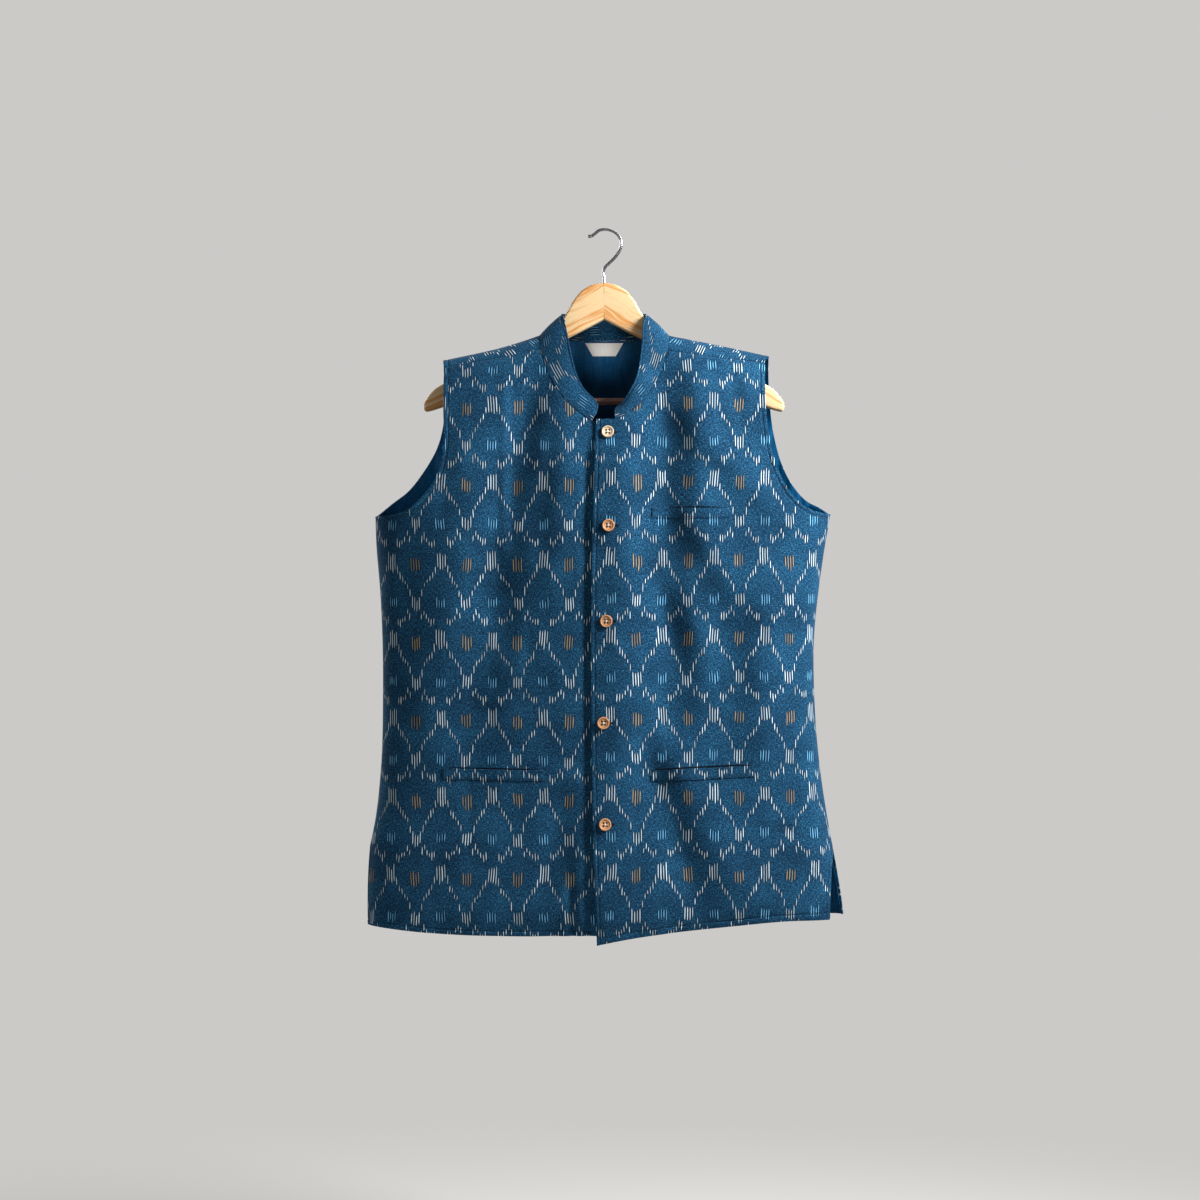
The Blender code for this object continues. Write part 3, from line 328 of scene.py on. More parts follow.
# the stand collar
COLLAR_BULGE = 1.2
COLLAR_END_RADIUS = {"right": 13.0, "left": 8.0}
COLLAR_END_FALL = 0.58
COLLAR_MOST_LEAN = math.radians(55)
COLLAR_POINTS = (34, 12, 66)  # behind the ridge, over it, and down the front
COLLAR_HEIGHTS = np.concatenate((np.linspace(0, 0.78, 11), np.linspace(0.82, 1, 7)))
COLLAR_INSET = 2.6
COLLAR_GROOVE = 0.55
COLLAR_SWELL, COLLAR_SWELL_INSET = 0.4, 0.8
COLLAR_PRESS_WIDTH = 0.8
COLLAR_RIM = 1.15
COLLAR_CLEAR = 0.4          # between its foot and the panels

# ------------------------------------------------------------------ the ikat's chart
THREAD_PITCH = 3.15         # between two tied warp threads
THREADS = 20                # tied threads in a repeat
REPEAT_LONG = 96.0
IKAT = (
    # threads off the middle, then each dash's place down the repeat and half length
    # thread, upper, upper_half, lower, lower_half
    (0.5, 0.0, 10.2, 51.5, 5.8),
    (1.5, -1.5, 9.6, 50.5, 6.0),
    (2.5, 8.6, 4.8, 73.0, 4.4),
    (3.5, 17.0, 4.0, 75.0, 4.6),
    (4.5, 21.0, 4.0, 72.5, 2.8),
    (5.5, 25.0, 2.4, 69.0, 3.0),
    (6.5, 29.5, 2.8, 63.0, 3.7),
    (7.5, 38.0, 4.7, 68.5, 4.1),
    (8.5, 50.5, 7.6, 4.0, 7.6),
    (9.5, 53.0, 7.6, 5.0, 8.6),
)
# the chart is read off colour ramps, which hold numbers from 0 to 1
IKAT_LIFT = 10.0
IKAT_PLACES = 100.0
IKAT_HALVES = 20.0
IKAT_SLIP = 3.4             # a dash's chance shift down its thread
IKAT_SWAY_ACROSS, IKAT_SWAY_DOWN = 7.0, 9.0
WARP_PITCH, WEFT_PITCH = 0.63, 0.70


# ----------------------------------------------------------------- small tools
def column(rows, place):
    return np.array([row[place] for row in rows], dtype=float)


def smooth_curve(xs, ys):
    """A function that runs smoothly through the points of a table."""
    order = np.argsort(xs)
    xs = np.asarray(xs, dtype=float)[order]
    ys = np.asarray(ys, dtype=float)[order]
    slopes = np.gradient(ys, xs)

    def value(x):
        x = np.clip(x, xs[0], xs[-1])
        k = np.clip(np.searchsorted(xs, x, side="right") - 1, 0, len(xs) - 2)
        width = xs[k + 1] - xs[k]
        t = (x - xs[k]) / width
        start = ys[k] * (1 + 2 * t) + slopes[k] * width * t
        end = ys[k + 1] * (3 - 2 * t) - slopes[k + 1] * width * (1 - t)
        return start * (1 - t) ** 2 + end * t * t

    return value


def smooth_path(points):
    """A function of 0 to 1 that runs smoothly through points of any size."""
    points = np.array(points, dtype=float)
    steps = np.linalg.norm(np.diff(points, axis=0), axis=1)
    along = np.concatenate(([0.0], np.cumsum(steps))) / steps.sum()
    curves = [smooth_curve(along, points[:, k]) for k in range(points.shape[1])]
    return lambda t: np.stack([curve(t) for curve in curves], axis=-1)


def lengths(points):
    """Distance along a row of points, from its start."""
    steps = np.linalg.norm(np.diff(points, axis=0), axis=1)
    return np.concatenate(([0.0], np.cumsum(steps)))


def even_path(path, start=0.0, end=1.0):
    """The same path as a function of the share of its length."""
    fine = np.linspace(start, end, PATH_POINTS)
    along = lengths(path(fine))
    return lambda share: path(np.interp(share, along / along[-1], fine))


def step(value, low, high):
    """0 below low, 1 above high and a smooth rise between."""
    t = np.clip((value - low) / (high - low), 0.0, 1.0)
    return t * t * (3 - 2 * t)


def blend(a, b, t):
    return a + (b - a) * t


def unit(vectors):
    return vectors / np.linalg.norm(vectors, axis=-1, keepdims=True)


# ------------------------------------------------------------ the body's shape
side_left, side_right, depth_front, depth_back = [
    smooth_curve(column(SECTIONS, 0), column(SECTIONS, k)) for k in (1, 2, 3, 4)]
ridge_z, seam_drop = [smooth_curve(column(SHOULDERS, 0), column(SHOULDERS, k)) for k in (1, 2)]

# a table of the turn round the side, against the share of the half width that it
# reaches, against a measure that gives tight curves more columns, and against girth
TURN = np.radians(np.linspace(-90, 90, 1441))
REACH = np.sin(TURN + FULLNESS * np.sin(2 * TURN))
TURN_WEIGHT = 30.0
edge_x = SHOULDER_HALF * REACH
edge_y = -HALF_DEPTH * np.cos(TURN)
heading = np.unwrap(np.arctan2(np.gradient(edge_y), np.gradient(edge_x)))
round_steps = np.hypot(np.diff(edge_x), np.diff(edge_y))
advance = round_steps + TURN_WEIGHT * np.abs(np.diff(heading))
MEASURE = np.concatenate(([0.0], np.cumsum(advance)))
GIRTH = np.concatenate(([0.0], np.cumsum(round_steps)))
GIRTH_GAIN = GIRTH - np.interp(0.0, TURN, GIRTH) - edge_x
SIDE_TURN = math.radians(90) - SEAM_HALF / 50.0

# how much longer the cloth is than its height, over the shoulder's roll
ROLL_DEPTH = 45.0
ROLL = np.radians(np.linspace(0, 90, 181))
roll_steps = np.hypot(CAP * np.sin(ROLL), ROLL_DEPTH * np.cos(ROLL)) * (ROLL[1] - ROLL[0])
ROLL_LENGTH = np.cumsum(roll_steps) - roll_steps[0]
ROLL_GAIN = ROLL_LENGTH[-1] - ROLL_LENGTH - CAP * np.cos(ROLL)


def share_of(turn):
    """Share of the half width that a turn round the body reaches."""
    return np.sin(turn + FULLNESS * np.sin(2 * turn))


def turn_at(x, z):
    """The turn round the body that meets x at height z."""
    left, right = side_left(z), side_right(z)
    return np.interp((2 * x - left - right) / (right - left), REACH, TURN)


def x_at(turn, z):
    left, right = side_left(z), side_right(z)
    return (left + right + (right - left) * share_of(turn)) / 2


def ridge_at(turn):
    return ridge_z(SHOULDER_HALF * share_of(turn))


def climb_at(turn, z, face):
    """How far down from the ridge z lies, along the cloth's roll: +1 is front."""
    drop = np.maximum(ridge_at(turn) - z, 0.0)
    rolled = CAP * np.arccos(1 - np.clip(drop / CAP, 0, 1))
    return face * np.where(drop < CAP, rolled, CAP * math.pi / 2 + drop - CAP)


def fold_height(folds, fade, x, z):
    """How far the folds stand proud at x, z."""
    height = np.zeros(np.broadcast(x, z).shape)
    for ax, az, bx, bz, width, rise in folds:
        length = math.hypot(bx - ax, bz - az)
        dx, dz = (bx - ax) / length, (bz - az) / length
        along = (x - ax) * dx + (z - az) * dz
        across = (x - ax) * dz - (z - az) * dx
        over = np.maximum(0.0, np.maximum(-along, along - length))
        height += rise * np.exp(-(across / width) ** 2 - (over / fade) ** 2)
    return height


def ripple(x, z, phase):
    """The slight unevenness of any hung cloth."""
    slow = np.sin(x / 41 + phase) * np.sin(z / 67 + 2 * phase + np.sin(x / 90))
    quick = np.sin(x / 17 + 3 * phase + np.sin(z / 60)) * np.sin(z / 31 + phase)
    return 0.55 * slow + 0.22 * quick


def crumple(x, z, phase):
    """Soft dents from handling, a few centimetres across."""
    height = np.zeros(np.broadcast(x, z).shape)
    for k, (heading, wave) in enumerate(CRUMPLES):
        run = x * math.cos(heading) + z * math.sin(heading)
        aside = z * math.cos(heading) - x * math.sin(heading)
        swing = np.sin(aside / (2.3 * wave) + 2.1 * k + phase)
        height += CRUMPLE_RISE * wave / 8.0 * np.sin(run / wave + 2.5 * swing + phase * (k + 1))
    return height


def relief(x, z, folds, creases, phases):
    """All the unevenness of one face at x, z."""
    height = fold_height(folds, FOLD_FADE, x, z) + ripple(x, z, phases[0])
    return height + (fold_height(creases, CREASE_FADE, x, z) + crumple(x, z, phases[1]))


def roll_of(climb):
    """The angle of the shoulder's roll at a climb, up to a right angle below it."""
    return np.minimum(np.abs(climb) / CAP, math.pi / 2)


def body(turn, climb, lie=None):
    """A point on the jacket's outer face; lie says how deep an overlap lies."""
    roll = roll_of(climb)
    fall = CAP * (1 - np.cos(roll)) + np.maximum(0.0, np.abs(climb) - CAP * math.pi / 2)
    z = ridge_at(turn) - fall
    x = x_at(turn, z)
    round_off = np.cos(turn) * np.sin(roll)
    front = relief(x, z, FOLDS_FRONT, CREASES_FRONT, PHASES["front"])
    front = depth_front(z) * round_off + front * round_off ** 2
    if lie:
        front = front - lie(x, z)
    back = relief(x, z, FOLDS_BACK, CREASES_BACK, PHASES["back"])
    back = depth_back(z) * round_off + back * round_off ** 2
    return np.stack((x, np.where(climb >= 0, -front, back), z), axis=-1)


def facing(turn, climb, lie=None):
    """The outward direction of the jacket's face at a point."""
    across = body(turn + TURN_NUDGE, climb, lie) - body(turn - TURN_NUDGE, climb, lie)
    down = body(turn, climb + CLIMB_NUDGE, lie) - body(turn, climb - CLIMB_NUDGE, lie)
    return -unit(np.cross(across, down))


def overlap_drop(x, z):
    """How deep the right front lies behind the left one at x."""
    edge = EDGE_DROP * np.exp(-((x - EDGE_DROP_X) / EDGE_DROP_WIDTH) ** 2)
    edge = edge * step(-z, EDGE_DROP_START, EDGE_DROP_FULL)
    return OVERLAP_DROP * step(x, OVERLAP_START, OVERLAP_FULL) + edge


def grain(turn, climb):
    """Where a point lies in its panel's cloth before sewing: across and along the warp."""
    point = body(turn, climb)
    roll = roll_of(climb)
    across = point[..., 0] + np.interp(turn, TURN, GIRTH_GAIN)
    along = point[..., 2] + np.interp(roll, ROLL, ROLL_GAIN)
    return np.stack((across, along), axis=-1)


def grain_over(turn, climb):
    """The same for the back, whose cloth runs straight on over the shoulder's ridge."""
    flat = grain(turn, climb)
    ridge = grain(turn, 0 * climb)
    x = SHOULDER_HALF * share_of(turn)
    slope = np.arctan((ridge_z(x + 4.0) - ridge_z(x - 4.0)) / 8.0)
    roll = roll_of(climb)
    length = np.interp(roll, ROLL, ROLL_LENGTH)
    along = -CAP * (1 - np.cos(roll)) * np.sin(slope)
    past = np.sqrt(np.maximum(length ** 2 - along ** 2, 0.0))
    over = ridge + np.stack((along * np.cos(slope) - past * np.sin(slope),
                             along * np.sin(slope) + past * np.cos(slope)), axis=-1)
    return np.where((climb > 0)[..., None], over, flat)


# ----------------------------------------------------------------- the neckline
def neck_path(side):
    """Two functions of the station: the seam (turn, climb) and the top (x, y, z)."""
    rows = NECK + (NECK_ENDS[side],)
    sign = 1 if side == "left" else -1
    seam, top = [], []
    for place, (seam_out, seam_z, face, top_out, top_y, top_z) in enumerate(rows):
        x = NECK_CENTRE + sign * seam_out
        turn = turn_at(x, seam_z)
        climb = 0.0 if place == RIDGE_STATION else climb_at(turn, seam_z, face)
        if side == "left":
            top_out, top_z = LEFT_TOPS.get(place, (top_out, top_z))
        seam.append((turn, float(climb)))
        top.append((NECK_CENTRE + sign * top_out, top_y, top_z))
    stations = np.arange(len(rows))
    parts = [smooth_curve(stations, [row[k] for row in seam]) for k in (0, 1)]
    tops = [smooth_curve(stations, [row[k] for row in top]) for k in (0, 1, 2)]
    return (lambda s: np.stack([part(s) for part in parts], axis=-1),
            lambda s: np.stack([part(s) for part in tops], axis=-1))


def forward_climb(turn):
    """The climb of the shoulder seam, which lies forward of the ridge."""
    return climb_at(turn, ridge_at(turn) - seam_drop(SHOULDER_HALF * share_of(turn)), 1)


def neck_stretches(side):
    """Functions of a share: stations behind the ridge, over it, and down the front."""
    seam, _ = neck_path(side)
    fine = np.linspace(0, len(NECK), NECK_POINTS)
    turns, climbs = seam(fine).T
    along = lengths(body(turns, climbs))
    forward = fine[np.argmax(climbs > forward_climb(turns))]

    def stretch(start, end):
        ends = np.interp((start, end), fine, along)
        return lambda share: np.interp(blend(ends[0], ends[1], share), along, fine)

    return stretch(0, RIDGE_STATION), stretch(RIDGE_STATION, forward), stretch(forward, len(NECK))


# ---------------------------------------------------------------- panels as grids
def measured(turn, climb):
    """Turn and climb, with the turn in the measure that spaces a panel's columns."""
    return np.stack((np.interp(turn, TURN, MEASURE), climb), axis=-1)


def outer_edge(side, hem_corner, vent_x, armhole, tip_end, face):
    """A panel's outer edge against the row number: vent, side seam, then armhole."""
    sign = 1 if side == "left" else -1
    vent = even_path(smooth_path((hem_corner, (blend(hem_corner[0], vent_x, 0.6), VENT_MIDDLE),
                                  (x_at(sign * SIDE_TURN, VENT_TOP), VENT_TOP))))
    underarm = UNDERARM[side]
    start = (x_at(sign * SIDE_TURN, underarm), underarm)
    arm = even_path(smooth_path((start,) + armhole + (tip_end,)))

    def edge(rows):
        low = vent(np.clip(rows / ROWS_VENT, 0, 1))
        high = arm(np.clip((rows - ROWS_VENT - ROWS_SIDE) / ROWS_ARM, 0, 1))
        seam_z = blend(VENT_TOP, underarm, (rows - ROWS_VENT) / ROWS_SIDE)
        is_arm = rows > ROWS_UNDERARM
        is_vent = rows < ROWS_VENT
        z = np.where(is_vent, low[:, 1], np.where(is_arm, high[:, 1], seam_z))
        x = np.where(is_vent, low[:, 0], high[:, 0])
        turn = np.where(is_vent | is_arm, turn_at(x, z), sign * SIDE_TURN)
        return measured(turn, climb_at(turn, z, face))

    return edge


def hem_edge(hem, start_x, end_x, face):
    """A hem against a share, evenly round the body."""
    ends = [np.interp(turn_at(x, hem(x)), TURN, MEASURE) for x in (start_x, end_x)]

    def edge(share):
        turn = np.interp(blend(ends[0], ends[1], share), MEASURE, TURN)
        z = hem(x_at(turn, hem(x_at(turn, HEM_Z))))
        return measured(turn, climb_at(turn, z, face))

    return edge


def patch(bottom, top, start, end, us, vs):
    """Turn and climb between four edges, at shares us across and vs up."""
    u = us[None, :, None]
    v = vs[:, None, None]
    lower = blend(bottom[:1], bottom[-1:], us[:, None])[None]
    upper = blend(top[:1], top[-1:], us[:, None])[None]
    points = blend(bottom[None], top[None], v) + blend(start[:, None], end[:, None], u)
    points = points - blend(lower, upper, v)
    return np.interp(points[..., 0], MEASURE, TURN), points[..., 1]


# extra lines of a fine grid beside an edge, which its stitching presses in
EDGE_LINES = np.array((0.7, 1.9, 3.2, 4.0, 4.7, 5.4, 6.1, 6.9, 7.6, 8.3, 9.1, 10.2))
EDGE_ZONE = 11.5


def lines(start, end, count, start_unit=0.0, end_unit=0.0):
    """Evenly spaced numbers, with closer ones by an edge; a unit is one number in mm."""
    even = np.linspace(start, end, count + 1)
    close = []
    if start_unit:
        even = even[(even <= start) | (even > start + EDGE_ZONE / start_unit)]
        close.append(start + EDGE_LINES / start_unit)
    if end_unit:
        even = even[(even >= end) | (even < end - EDGE_ZONE / end_unit)]
        close.append(end - EDGE_LINES / end_unit)
    return np.unique(np.round(np.concatenate([even] + close), 6))


def front_panel(side):
    """A front's turn and climb on a fine grid, and its column and row numbers."""
    hem = smooth_curve(*zip(*HEMS[side]))
    seam, _ = neck_path(side)
    down = neck_stretches(side)[2]
    end_turn, end_climb = seam(float(len(NECK)))
    end_x, _, end_z = body(end_turn, end_climb)
    strip = lines(-COLUMNS_STRIP, 0, STRIP_COLUMNS, start_unit=STRIP_WIDE)
    columns = lines(0, COLUMNS_FRONT, FRONT_COLUMNS, end_unit=FRONT_WIDE)
    columns = np.concatenate((strip[:-1], columns))
    rows = np.concatenate((lines(0, ROWS_CENTRE, FRONT_ROWS, start_unit=ROW_TALL)[:-1],
                           lines(ROWS_CENTRE, ROWS, FRONT_NECK_ROWS)))
    height = blend(hem(end_x), end_z, np.minimum(rows / ROWS_CENTRE, 1))
    turns = turn_at(end_x, height)
    neck = seam(down(np.clip(1 - (rows - ROWS_CENTRE) / ROWS_NECK, 0, 1)))
    on_neck = (rows >= ROWS_CENTRE)[:, None]
    inner = np.where(on_neck, measured(*neck.T), measured(turns, climb_at(turns, height, 1)))
    tip_turn = turn_at(TIPS[side], TIP_Z)
    tip = (TIPS[side], ridge_at(tip_turn) - seam_drop(TIPS[side]) - SHOULDER_HALF_GAP)
    outer = outer_edge(side, HEMS[side][-1], VENT_EDGE[side], ARMHOLES[side], tip, 1)(rows)
    share = columns[columns >= 0] / COLUMNS_FRONT
    bottom = hem_edge(hem, end_x, HEMS[side][-1][0], 1)(share)
    shoulder = np.interp(blend(inner[-1, 0], outer[-1, 0], share), MEASURE, TURN)
    top = measured(shoulder, forward_climb(shoulder) + SHOULDER_HALF_GAP)
    bottom[0], bottom[-1], top[0], top[-1] = inner[0], outer[0], inner[-1], outer[-1]
    turn, climb = patch(bottom, top, inner, outer, share, rows / ROWS)
    # the strip under the buttons, from the front edge to the collar's end
    edge = smooth_curve(*zip(*[(z, x) for x, z in FRONT_EDGES[side]]))
    row_z = body(turn[:, 0], climb[:, 0])[:, 2]
    share = (columns[columns < 0] + COLUMNS_STRIP) / COLUMNS_STRIP
    x = blend(edge(row_z)[:, None], end_x, share[None])
    rise = (hem(x) - hem(end_x)) * (1 - np.minimum(rows / ROWS_CENTRE, 1))[:, None] ** 3
    z = row_z[:, None] + rise
    strip_turn = turn_at(x, z)
    strip_climb = climb_at(strip_turn, z, 1)
    above = (rows > ROWS_CENTRE)[:, None]
    strip_turn = np.where(above, turn[:, :1], strip_turn)
    strip_climb = np.where(above, climb[:, :1], strip_climb)
    turn = np.concatenate((strip_turn, turn), axis=1)
    climb = np.concatenate((strip_climb, climb), axis=1)
    return turn, climb, columns, rows


def back_panel(column_count, row_count):
    """The back's turn and climb on a fine grid, up to and over both shoulders."""
    hem = smooth_curve(*zip(*BACK_HEM))
    columns = lines(0, COLUMNS_BACK, column_count, start_unit=BACK_WIDE, end_unit=BACK_WIDE)
    columns = np.unique(np.concatenate((columns, (COLUMNS_SHOULDER,
                                                  COLUMNS_BACK - COLUMNS_SHOULDER))))
    rows = lines(0, ROWS, row_count, start_unit=ROW_TALL)
    edges, seams, backs, overs = {}, {}, {}, {}
    for side, corner in (("right", BACK_HEM[0]), ("left", BACK_HEM[-1])):
        ridge_end = (BACK_TIPS[side], ridge_z(BACK_TIPS[side]))
        edges[side] = outer_edge(side, corner, BACK_VENT_EDGE[side], BACK_ARMHOLES[side],
                                 ridge_end, -1)(rows)
        seams[side] = neck_path(side)[0]
        backs[side], overs[side], _ = neck_stretches(side)
    share = columns / COLUMNS_BACK
    bottom = hem_edge(hem, BACK_HEM[0][0], BACK_HEM[-1][0], -1)(share)
    half = COLUMNS_BACK_NECK / 2

    def top_half(side, numbers):
        """The top row from a shoulder's tip (0) to the neck's middle."""
        neck = measured(*seams[side](backs[side](
            np.clip((COLUMNS_SHOULDER + half - numbers) / half, 0, 1))).T)
        end = measured(*seams[side](float(RIDGE_STATION)))[0]
        ridge = blend(edges[side][-1, 0], end, np.minimum(numbers / COLUMNS_SHOULDER, 1))
        on_ridge = (numbers <= COLUMNS_SHOULDER)[:, None]
        return np.where(on_ridge, np.stack((ridge, 0 * ridge), axis=-1), neck)

    middle = columns <= COLUMNS_SHOULDER + half
    top = np.where(middle[:, None], top_half("right", columns),
                   top_half("left", COLUMNS_BACK - columns))
    bottom[0], bottom[-1] = edges["right"][0], edges["left"][0]
    edges["right"][-1], edges["left"][-1] = top[0], top[-1]
    turn, climb = patch(bottom, top, edges["right"], edges["left"], share, rows / ROWS)
    # the yoke over each shoulder, down to the forward seam
    over_rows = np.linspace(0, ROWS_OVER_SHOULDER, OVER_ROWS)[1:]
    reach = (over_rows / ROWS_OVER_SHOULDER)[:, None]
    over_turn = np.zeros((len(over_rows), len(columns)))
    over_climb = np.zeros_like(over_turn)
    for side, numbers in (("right", columns), ("left", COLUMNS_BACK - columns)):
        here = numbers <= COLUMNS_SHOULDER
        tip = measured(turn_at(TIPS[side], TIP_Z), 0.0)[0]
        neck = seams[side](overs[side](reach[:, 0]))
        ends = blend(edges[side][-1, 0], tip, reach)
        neck_ends = np.interp(neck[:, :1], TURN, MEASURE)
        part = np.interp(blend(ends, neck_ends, numbers[here][None] / COLUMNS_SHOULDER),
                         MEASURE, TURN)
        part_climb = (forward_climb(part) - SHOULDER_HALF_GAP) * reach
        near = np.maximum(0.0, numbers[here] - COLUMNS_SHOULDER + 1)[None]
        change = (neck[:, 1:] - part_climb[:, np.argmax(numbers[here]), None]) * (reach < 1)
        over_turn[:, here] = part
        over_climb[:, here] = part_climb + change * near
        if side == "right":
            middle_turn, middle_climb = part[:, -1:], part_climb[:, -1:]
    between = (columns > COLUMNS_SHOULDER) & (columns < COLUMNS_BACK - COLUMNS_SHOULDER)
    over_turn[:, between] = middle_turn
    over_climb[:, between] = middle_climb
    turn = np.concatenate((turn, over_turn))
    climb = np.concatenate((climb, over_climb))
    return turn, climb, columns, np.concatenate((rows, ROWS + over_rows))


# ----------------------------------------------------------------- node materials
def rgb(red, green, blue):
    """A colour given as 0 to 255 on a screen, as light."""
    parts = [part / 255 for part in (red, green, blue)]
    return tuple(p / 12.92 if p <= 0.04045 else ((p + 0.055) / 1.055) ** 2.4 for p in parts) + (1.0,)


class Nodes:
    """A Principled material's node tree, with short ways to add to it."""

    def __init__(self, name, **sockets):
        self.material = bpy.data.materials.new(name)
        self.material.use_nodes = True
        self.tree = self.material.node_tree
        self.shader = self.tree.nodes["Principled BSDF"]
        for socket, value in sockets.items():
            self.put(self.shader.inputs[socket.replace("_", " ")], value)

    def put(self, socket, value):
        if isinstance(value, bpy.types.NodeSocket):
            self.tree.links.new(value, socket)
        else:
            socket.default_value = value

    def node(self, kind, inputs=None, out=0, **settings):
        made = self.tree.nodes.new("ShaderNode" + kind)
        for setting, value in settings.items():
            setattr(made, setting, value)
        for socket, value in (inputs or {}).items():
            self.put(made.inputs[socket], value)
        return made.outputs[out]

    def math(self, operation, *values):
        return self.node("Math", dict(enumerate(values)), operation=operation)

    def parts(self, vector):
        made = self.tree.nodes.new("ShaderNodeSeparateXYZ")
        self.put(made.inputs[0], vector)
        return made.outputs[:]

    def vector(self, x, y, z=0.0):
        return self.node("CombineXYZ", {0: x, 1: y, 2: z})

    def object_mm(self, turned=(0.0, 0.0, 0.0), scale=(1.0, 1.0, 1.0)):
        """Object coordinates in millimetres, turned and stretched."""
        place = self.node("TexCoord", out="Object")
        scale = tuple(part / MM for part in scale)
        return self.node("Mapping", {0: place, "Rotation": turned, "Scale": scale})

    def cloth_mm(self):
        """The cloth's own across and along, in millimetres."""
        flat = self.node("UVMap", uv_map="cloth")
        return self.node("Mapping", {0: flat, "Scale": (1 / MM, 1 / MM, 1 / MM)})

    def stretch(self, vector, x, y, z=1.0):
        return self.node("Mapping", {0: vector, "Scale": (x, y, z)})

    def noise(self, vector, scale, detail=2.0, roughness=0.5):
        return self.node("TexNoise", {"Vector": vector, "Scale": scale, "Detail": detail,
                                      "Roughness": roughness})

    def rise(self, value, low, high, to_low=0.0, to_high=1.0):
        return self.node("MapRange", {0: value, 1: low, 2: high, 3: to_low, 4: to_high},
                         interpolation_type="SMOOTHSTEP")

    def ramp(self, value, stops, interpolation="LINEAR"):
        made = self.tree.nodes.new("ShaderNodeValToRGB")
        made.color_ramp.interpolation = interpolation
        elements = made.color_ramp.elements
        while len(elements) < len(stops):
            elements.new(1.0)
        for element, (position, colour) in zip(elements, stops):
            element.position = position
            element.color = colour
        self.put(made.inputs[0], value)
        return made.outputs[0]

    def mix(self, share, a, b, mode="MIX"):
        return self.node("Mix", {0: share, 6: a, 7: b}, out=2, data_type="RGBA", blend_type=mode)

    def bump(self, height, strength, distance, below=None):
        inputs = {"Height": height, "Strength": strength, "Distance": distance * MM}
        if below:
            inputs["Normal"] = below
        return self.node("Bump", inputs)

    def finish(self, colour, roughness=None, normal=None):
        self.put(self.shader.inputs["Base Color"], colour)
        if roughness is not None:
            self.put(self.shader.inputs["Roughness"], roughness)
        if normal is not None:
            self.put(self.shader.inputs["Normal"], normal)
        return self.material


WHITE_TIE = rgb(216, 239, 252)
TAN_TIE = rgb(166, 154, 124)
SKY_TIE = rgb(122, 200, 248)
BESIDE_TIE = rgb(8, 32, 52)     # the ground is darker beside each tied dash
GROUND_BLUES = ((0.37, rgb(5, 25, 44)), (0.44, rgb(13, 46, 72)), (0.50, rgb(24, 72, 104)),
                (0.56, rgb(42, 103, 140)), (0.63, rgb(90, 160, 197)))
LINING_BLUES = ((0.30, rgb(0, 40, 72)), (0.55, rgb(0, 72, 114)), (0.75, rgb(6, 108, 152)))
# near-black painted shade, for the pocket mouths and the walls of the buttons' holes
PAINTED_SHADE_DARKS = ((0.3, rgb(3, 9, 16)), (0.7, rgb(7, 17, 27)))
LABEL_WHITES = ((0.3, rgb(208, 204, 196)), (0.7, rgb(240, 238, 232)))
WIRE_GREYS = ((0.3, rgb(150, 152, 158)), (0.7, rgb(214, 216, 220)))
# dark navy: partly the thread's own colour, partly painted shade of stitches sunk in their groove
TOPSTITCH_BLUE_AND_SHADE = rgb(8, 36, 56)
# near-black buttonhole thread, partly its own colour and partly painted shade of the open slit
BUTTONHOLE_BLUE_AND_SLIT_SHADE = rgb(5, 17, 32)
BUTTON_COTTON = rgb(250, 247, 240)
# woods: face, streak, and pores or rim
PINE = (rgb(227, 200, 155), rgb(208, 143, 74), rgb(140, 87, 43))
BAR_WOOD = (rgb(150, 112, 98), rgb(122, 84, 70), rgb(80, 52, 44))
CREAM_WOOD = (rgb(238, 220, 192), rgb(212, 182, 146), rgb(150, 112, 78))
TAN_WOOD = (rgb(228, 174, 126), rgb(200, 138, 90), rgb(134, 84, 48))


def ikat_dashes(n, down, thread, across, chart, number):
    """One row of the chart's dashes: how much tied yarn shows, and how bright it is."""
    place, half, _ = n.parts(chart)
    place = n.math("MULTIPLY_ADD", place, IKAT_PLACES, -IKAT_LIFT)
    half = n.math("MULTIPLY", half, IKAT_HALVES)
    off = n.math("SUBTRACT", down, place)
    repeat = n.math("FLOOR", n.math("MULTIPLY_ADD", off, 1 / REPEAT_LONG, 0.5))
    chance = n.node("TexWhiteNoise", {0: n.vector(thread, repeat, number)}, out="Color")
    shift, length, shade = n.parts(chance)
    off = n.math("MULTIPLY_ADD", repeat, -REPEAT_LONG, off)
    off = n.math("ADD", off, n.math("MULTIPLY_ADD", shift, IKAT_SLIP, -IKAT_SLIP / 2))
    reach = n.math("MULTIPLY", half, n.math("MULTIPLY_ADD", length, 0.4, 0.8))
    reach = n.math("SUBTRACT", reach, n.math("ABSOLUTE", off))
    width = n.rise(reach, 0.0, 4.0, 0.28, 0.46)
    along = n.rise(reach, -0.5, 0.9)
    shown = n.math("MULTIPLY", along, n.rise(n.math("SUBTRACT", width, across), -0.14, 0.14))
    shown = n.math("MULTIPLY", shown, n.rise(shade, 0.0, 1.0, 0.55, 1.0))
    return shown, along


